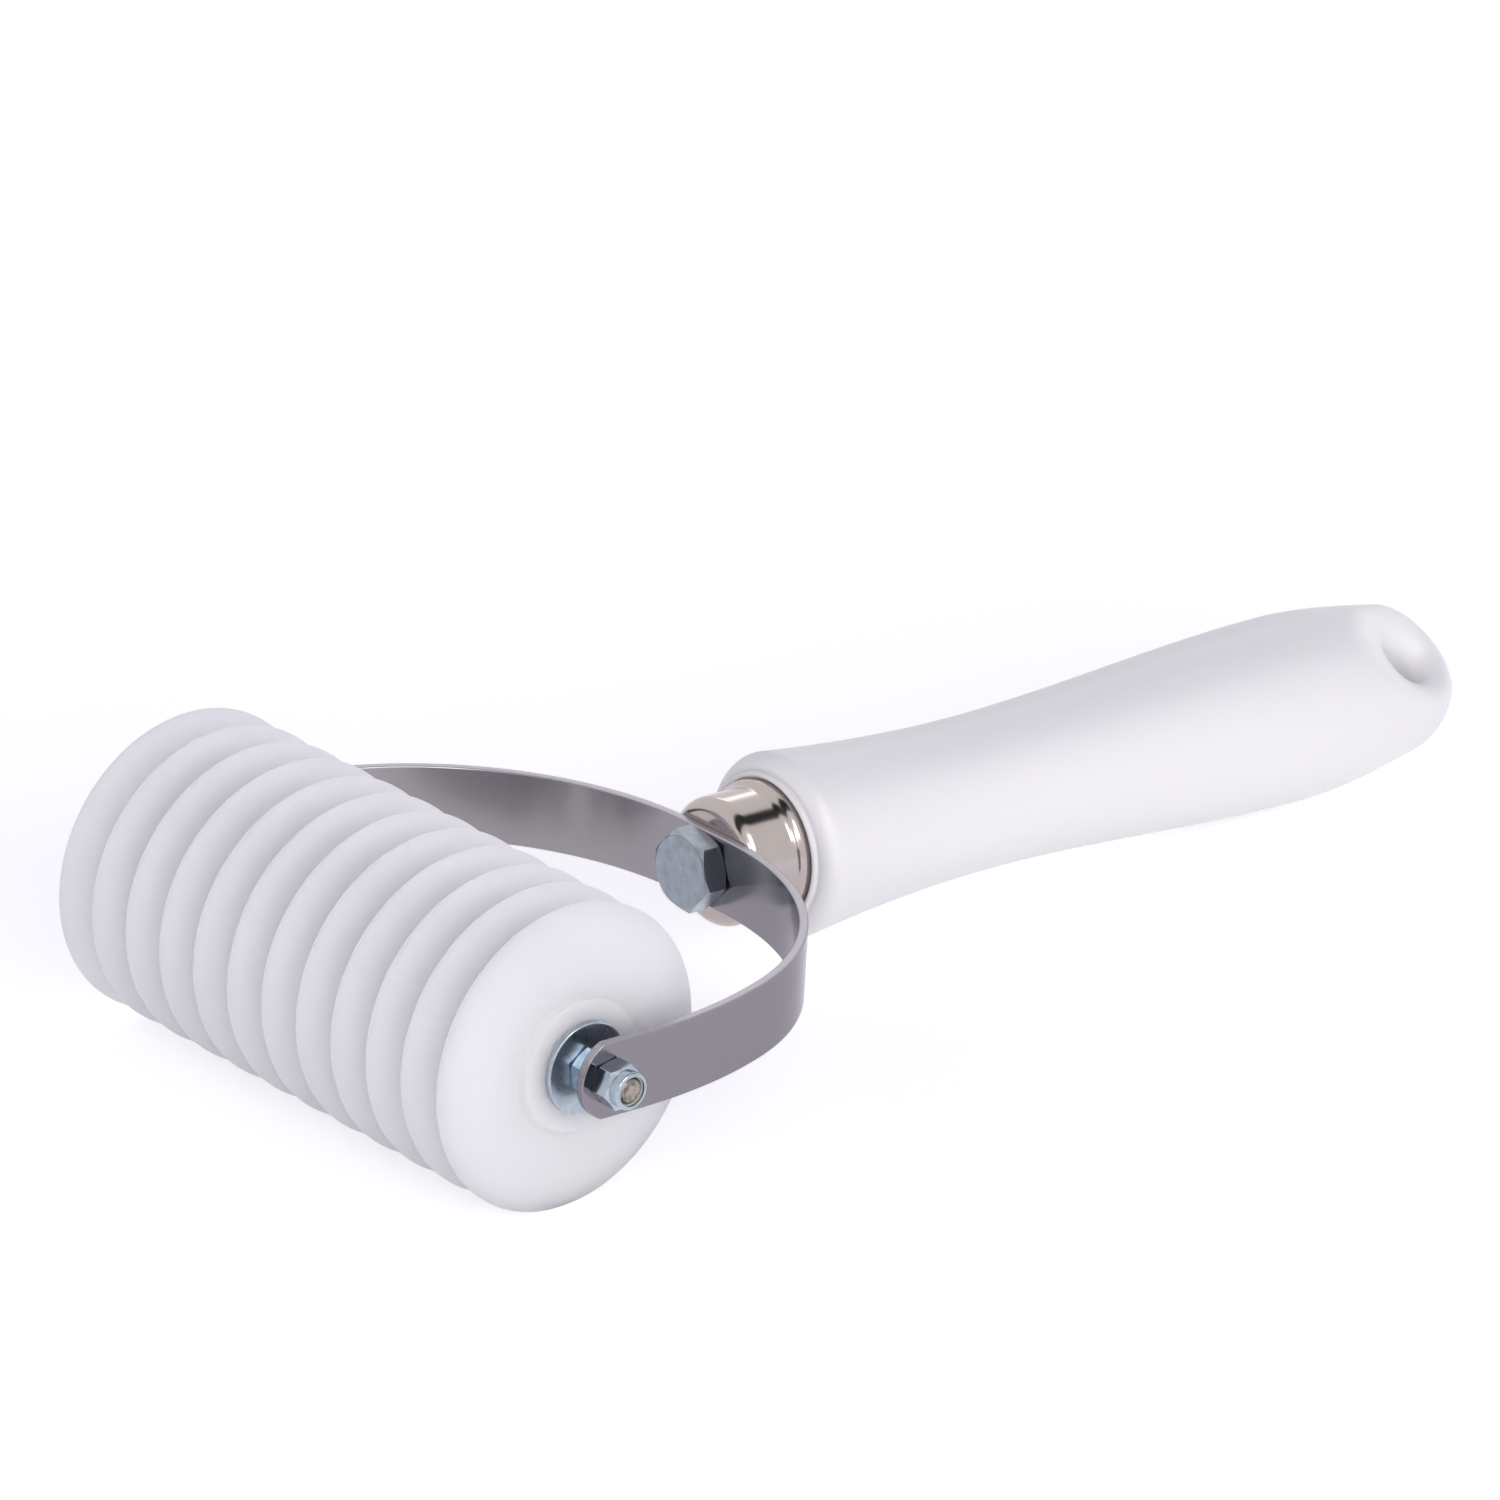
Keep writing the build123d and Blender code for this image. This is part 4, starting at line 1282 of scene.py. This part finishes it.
def place_camera(size):
    """Camera with a long lens at the photograph's viewing angle."""
    level = math.cos(size.elevation)
    back = Vector((math.sin(size.azimuth) * level, -math.cos(size.azimuth) * level, math.sin(size.elevation)))
    data = bpy.data.cameras.new("Camera")
    data.lens = size.lens
    data.sensor_width = 36
    data.clip_start = 0.1
    data.clip_end = 30
    camera = new_object("Camera", data)
    camera.rotation_mode = "QUATERNION"
    camera.location = Vector(size.aim) + back * size.distance
    rolled = Matrix.Rotation(size.roll, 3, "Z").to_quaternion()
    camera.rotation_quaternion = (-back).to_track_quat("-Z", "Y") @ rolled
    bpy.context.scene.camera = camera


def light_world():
    """White surroundings for the camera and the metals, and a softer, cool light for everything else."""
    world = bpy.data.worlds.new("Studio")
    world.use_nodes = True
    tree = world.node_tree
    tree.nodes.clear()
    heading = add_node(tree, "ShaderNodeTexCoord").outputs["Generated"]
    rise = add_node(tree, "ShaderNodeSeparateXYZ", {"Vector": heading}).outputs["Z"]
    sky = add_node(tree, "ShaderNodeMix", {0: rise, 6: HORIZON_LIGHT, 7: OVERHEAD_LIGHT}, data_type="RGBA")
    soft = add_node(tree, "ShaderNodeBackground", {"Color": sky.outputs[2], "Strength": 1.0})
    white = add_node(tree, "ShaderNodeBackground", {"Color": (1, 1, 1, 1), "Strength": 1.0})
    both = add_node(tree, "ShaderNodeMixShader", {0: seen_directly(tree), 1: soft, 2: white})
    add_node(tree, "ShaderNodeOutputWorld", {"Surface": both})
    bpy.context.scene.world = world


def facing(place, target):
    """Turn that points an object's -Z axis from its place to a target."""
    return (target - Vector(place)).to_track_quat("-Z", "Y")


def soft_box(name, place, span, power, target):
    """Rectangular lamp that faces the part and shows neither to the camera nor in the shiny pieces."""
    data = bpy.data.lights.new(name, "AREA")
    data.shape = "RECTANGLE"
    data.size, data.size_y = span
    data.energy = power
    lamp = new_object(name, data)
    lamp.location = place
    lamp.rotation_mode = "QUATERNION"
    lamp.rotation_quaternion = facing(place, target)
    lamp.visible_camera = False
    lamp.visible_glossy = False


def sheet(name, place, turning, span, material):
    """Flat rectangle of the given size, turned and placed in its mesh."""
    x, y = span[0] / 2, span[1] / 2
    corners = ((-x, -y, 0), (x, -y, 0), (x, y, 0), (-x, y, 0))
    mesh = bpy.data.meshes.new(name)
    mesh.from_pydata([place + turning @ Vector(corner) for corner in corners], [], [(0, 1, 2, 3)])
    mesh.materials.append(material)
    return new_object(name, mesh)


def mirrored_card(name, place, span, rgba, strength, target):
    """Card that only the shiny pieces mirror, such as a studio's window or a dark gap between its lamps."""
    material, tree = new_material("mirrored " + name)
    light = add_node(tree, "ShaderNodeEmission", {"Color": rgba, "Strength": strength})
    add_node(tree, "ShaderNodeOutputMaterial", {"Surface": light})
    card = sheet(name, Vector(place), facing(place, target).to_matrix(), span, material)
    for ray in ("camera", "diffuse", "transmission", "volume_scatter", "shadow"):
        setattr(card, "visible_" + ray, False)


class StageOperator(bpy.types.Operator):
    """Makes the camera, the lamps, the world and the floor"""
    bl_idname = "pasta_cutter.stage"
    bl_label = "Stage"

    def execute(self, context):
        size = context.scene.pasta_cutter.stage
        context.scene.view_settings.view_transform = "Standard"
        place_camera(size)
        light_world()
        part = (cad_low + cad_high) / 2
        for lamp in LAMPS:
            soft_box(*lamp, part)
        for card in CARDS:
            mirrored_card(*card, part)
        span = (2 * FLOOR_REACH, 2 * FLOOR_REACH)
        ground = sheet("floor", Vector(), Matrix.Identity(3), span, painted_floor(size))
        return {"FINISHED"}


class CutterPanel(bpy.types.Panel):
    """Lists the pieces and the stage in the sidebar"""
    bl_idname = "VIEW3D_PT_pasta_cutter"
    bl_label = "Pasta Cutter"
    bl_space_type = "VIEW_3D"
    bl_region_type = "UI"
    bl_category = "Pasta Cutter"

    def draw(self, context):
        settings = context.scene.pasta_cutter
        for label, group, operators in PANEL_ROWS:
            box = self.layout.box()
            box.label(text=label)
            values = getattr(settings, group)
            for name in values.__annotations__:
                box.prop(values, name)
            for operator in operators:
                box.operator(operator.bl_idname)


PANEL_ROWS = (
    ("Cutting wheels", "wheels", (WheelsOperator,)),
    ("Axle and its fasteners", "axle", (AxleOperator, WashersOperator, InnerNutsOperator, LockNutsOperator)),
    ("Fork and ferrule", "fork", (StrapOperator, BoltOperator, FerruleOperator)),
    ("Handle", "handle", (HandleOperator,)),
    ("Stage", "stage", (StageOperator,)),
)
CLASSES = (
    WheelSettings, AxleSettings, ForkSettings, HandleSettings, StageSettings, CutterSettings,
    *(operator for row in PANEL_ROWS for operator in row[2]), CutterPanel,
)


def register():
    """Registers the settings, operators and panel."""
    for cls in CLASSES:
        bpy.utils.register_class(cls)
    bpy.types.Scene.pasta_cutter = bpy.props.PointerProperty(type=CutterSettings)


def unregister():
    """Takes away what register added."""
    del bpy.types.Scene.pasta_cutter
    for cls in reversed(CLASSES):
        bpy.utils.unregister_class(cls)


def main():
    """Builds everything in order."""
    register()
    bpy.ops.pasta_cutter.wheels()
    bpy.ops.pasta_cutter.axle()
    bpy.ops.pasta_cutter.washers()
    bpy.ops.pasta_cutter.inner_nuts()
    bpy.ops.pasta_cutter.lock_nuts()
    bpy.ops.pasta_cutter.strap()
    bpy.ops.pasta_cutter.bolt()
    bpy.ops.pasta_cutter.ferrule()
    bpy.ops.pasta_cutter.handle()
    bpy.ops.pasta_cutter.stage()


if __name__ == "__main__":
    main()
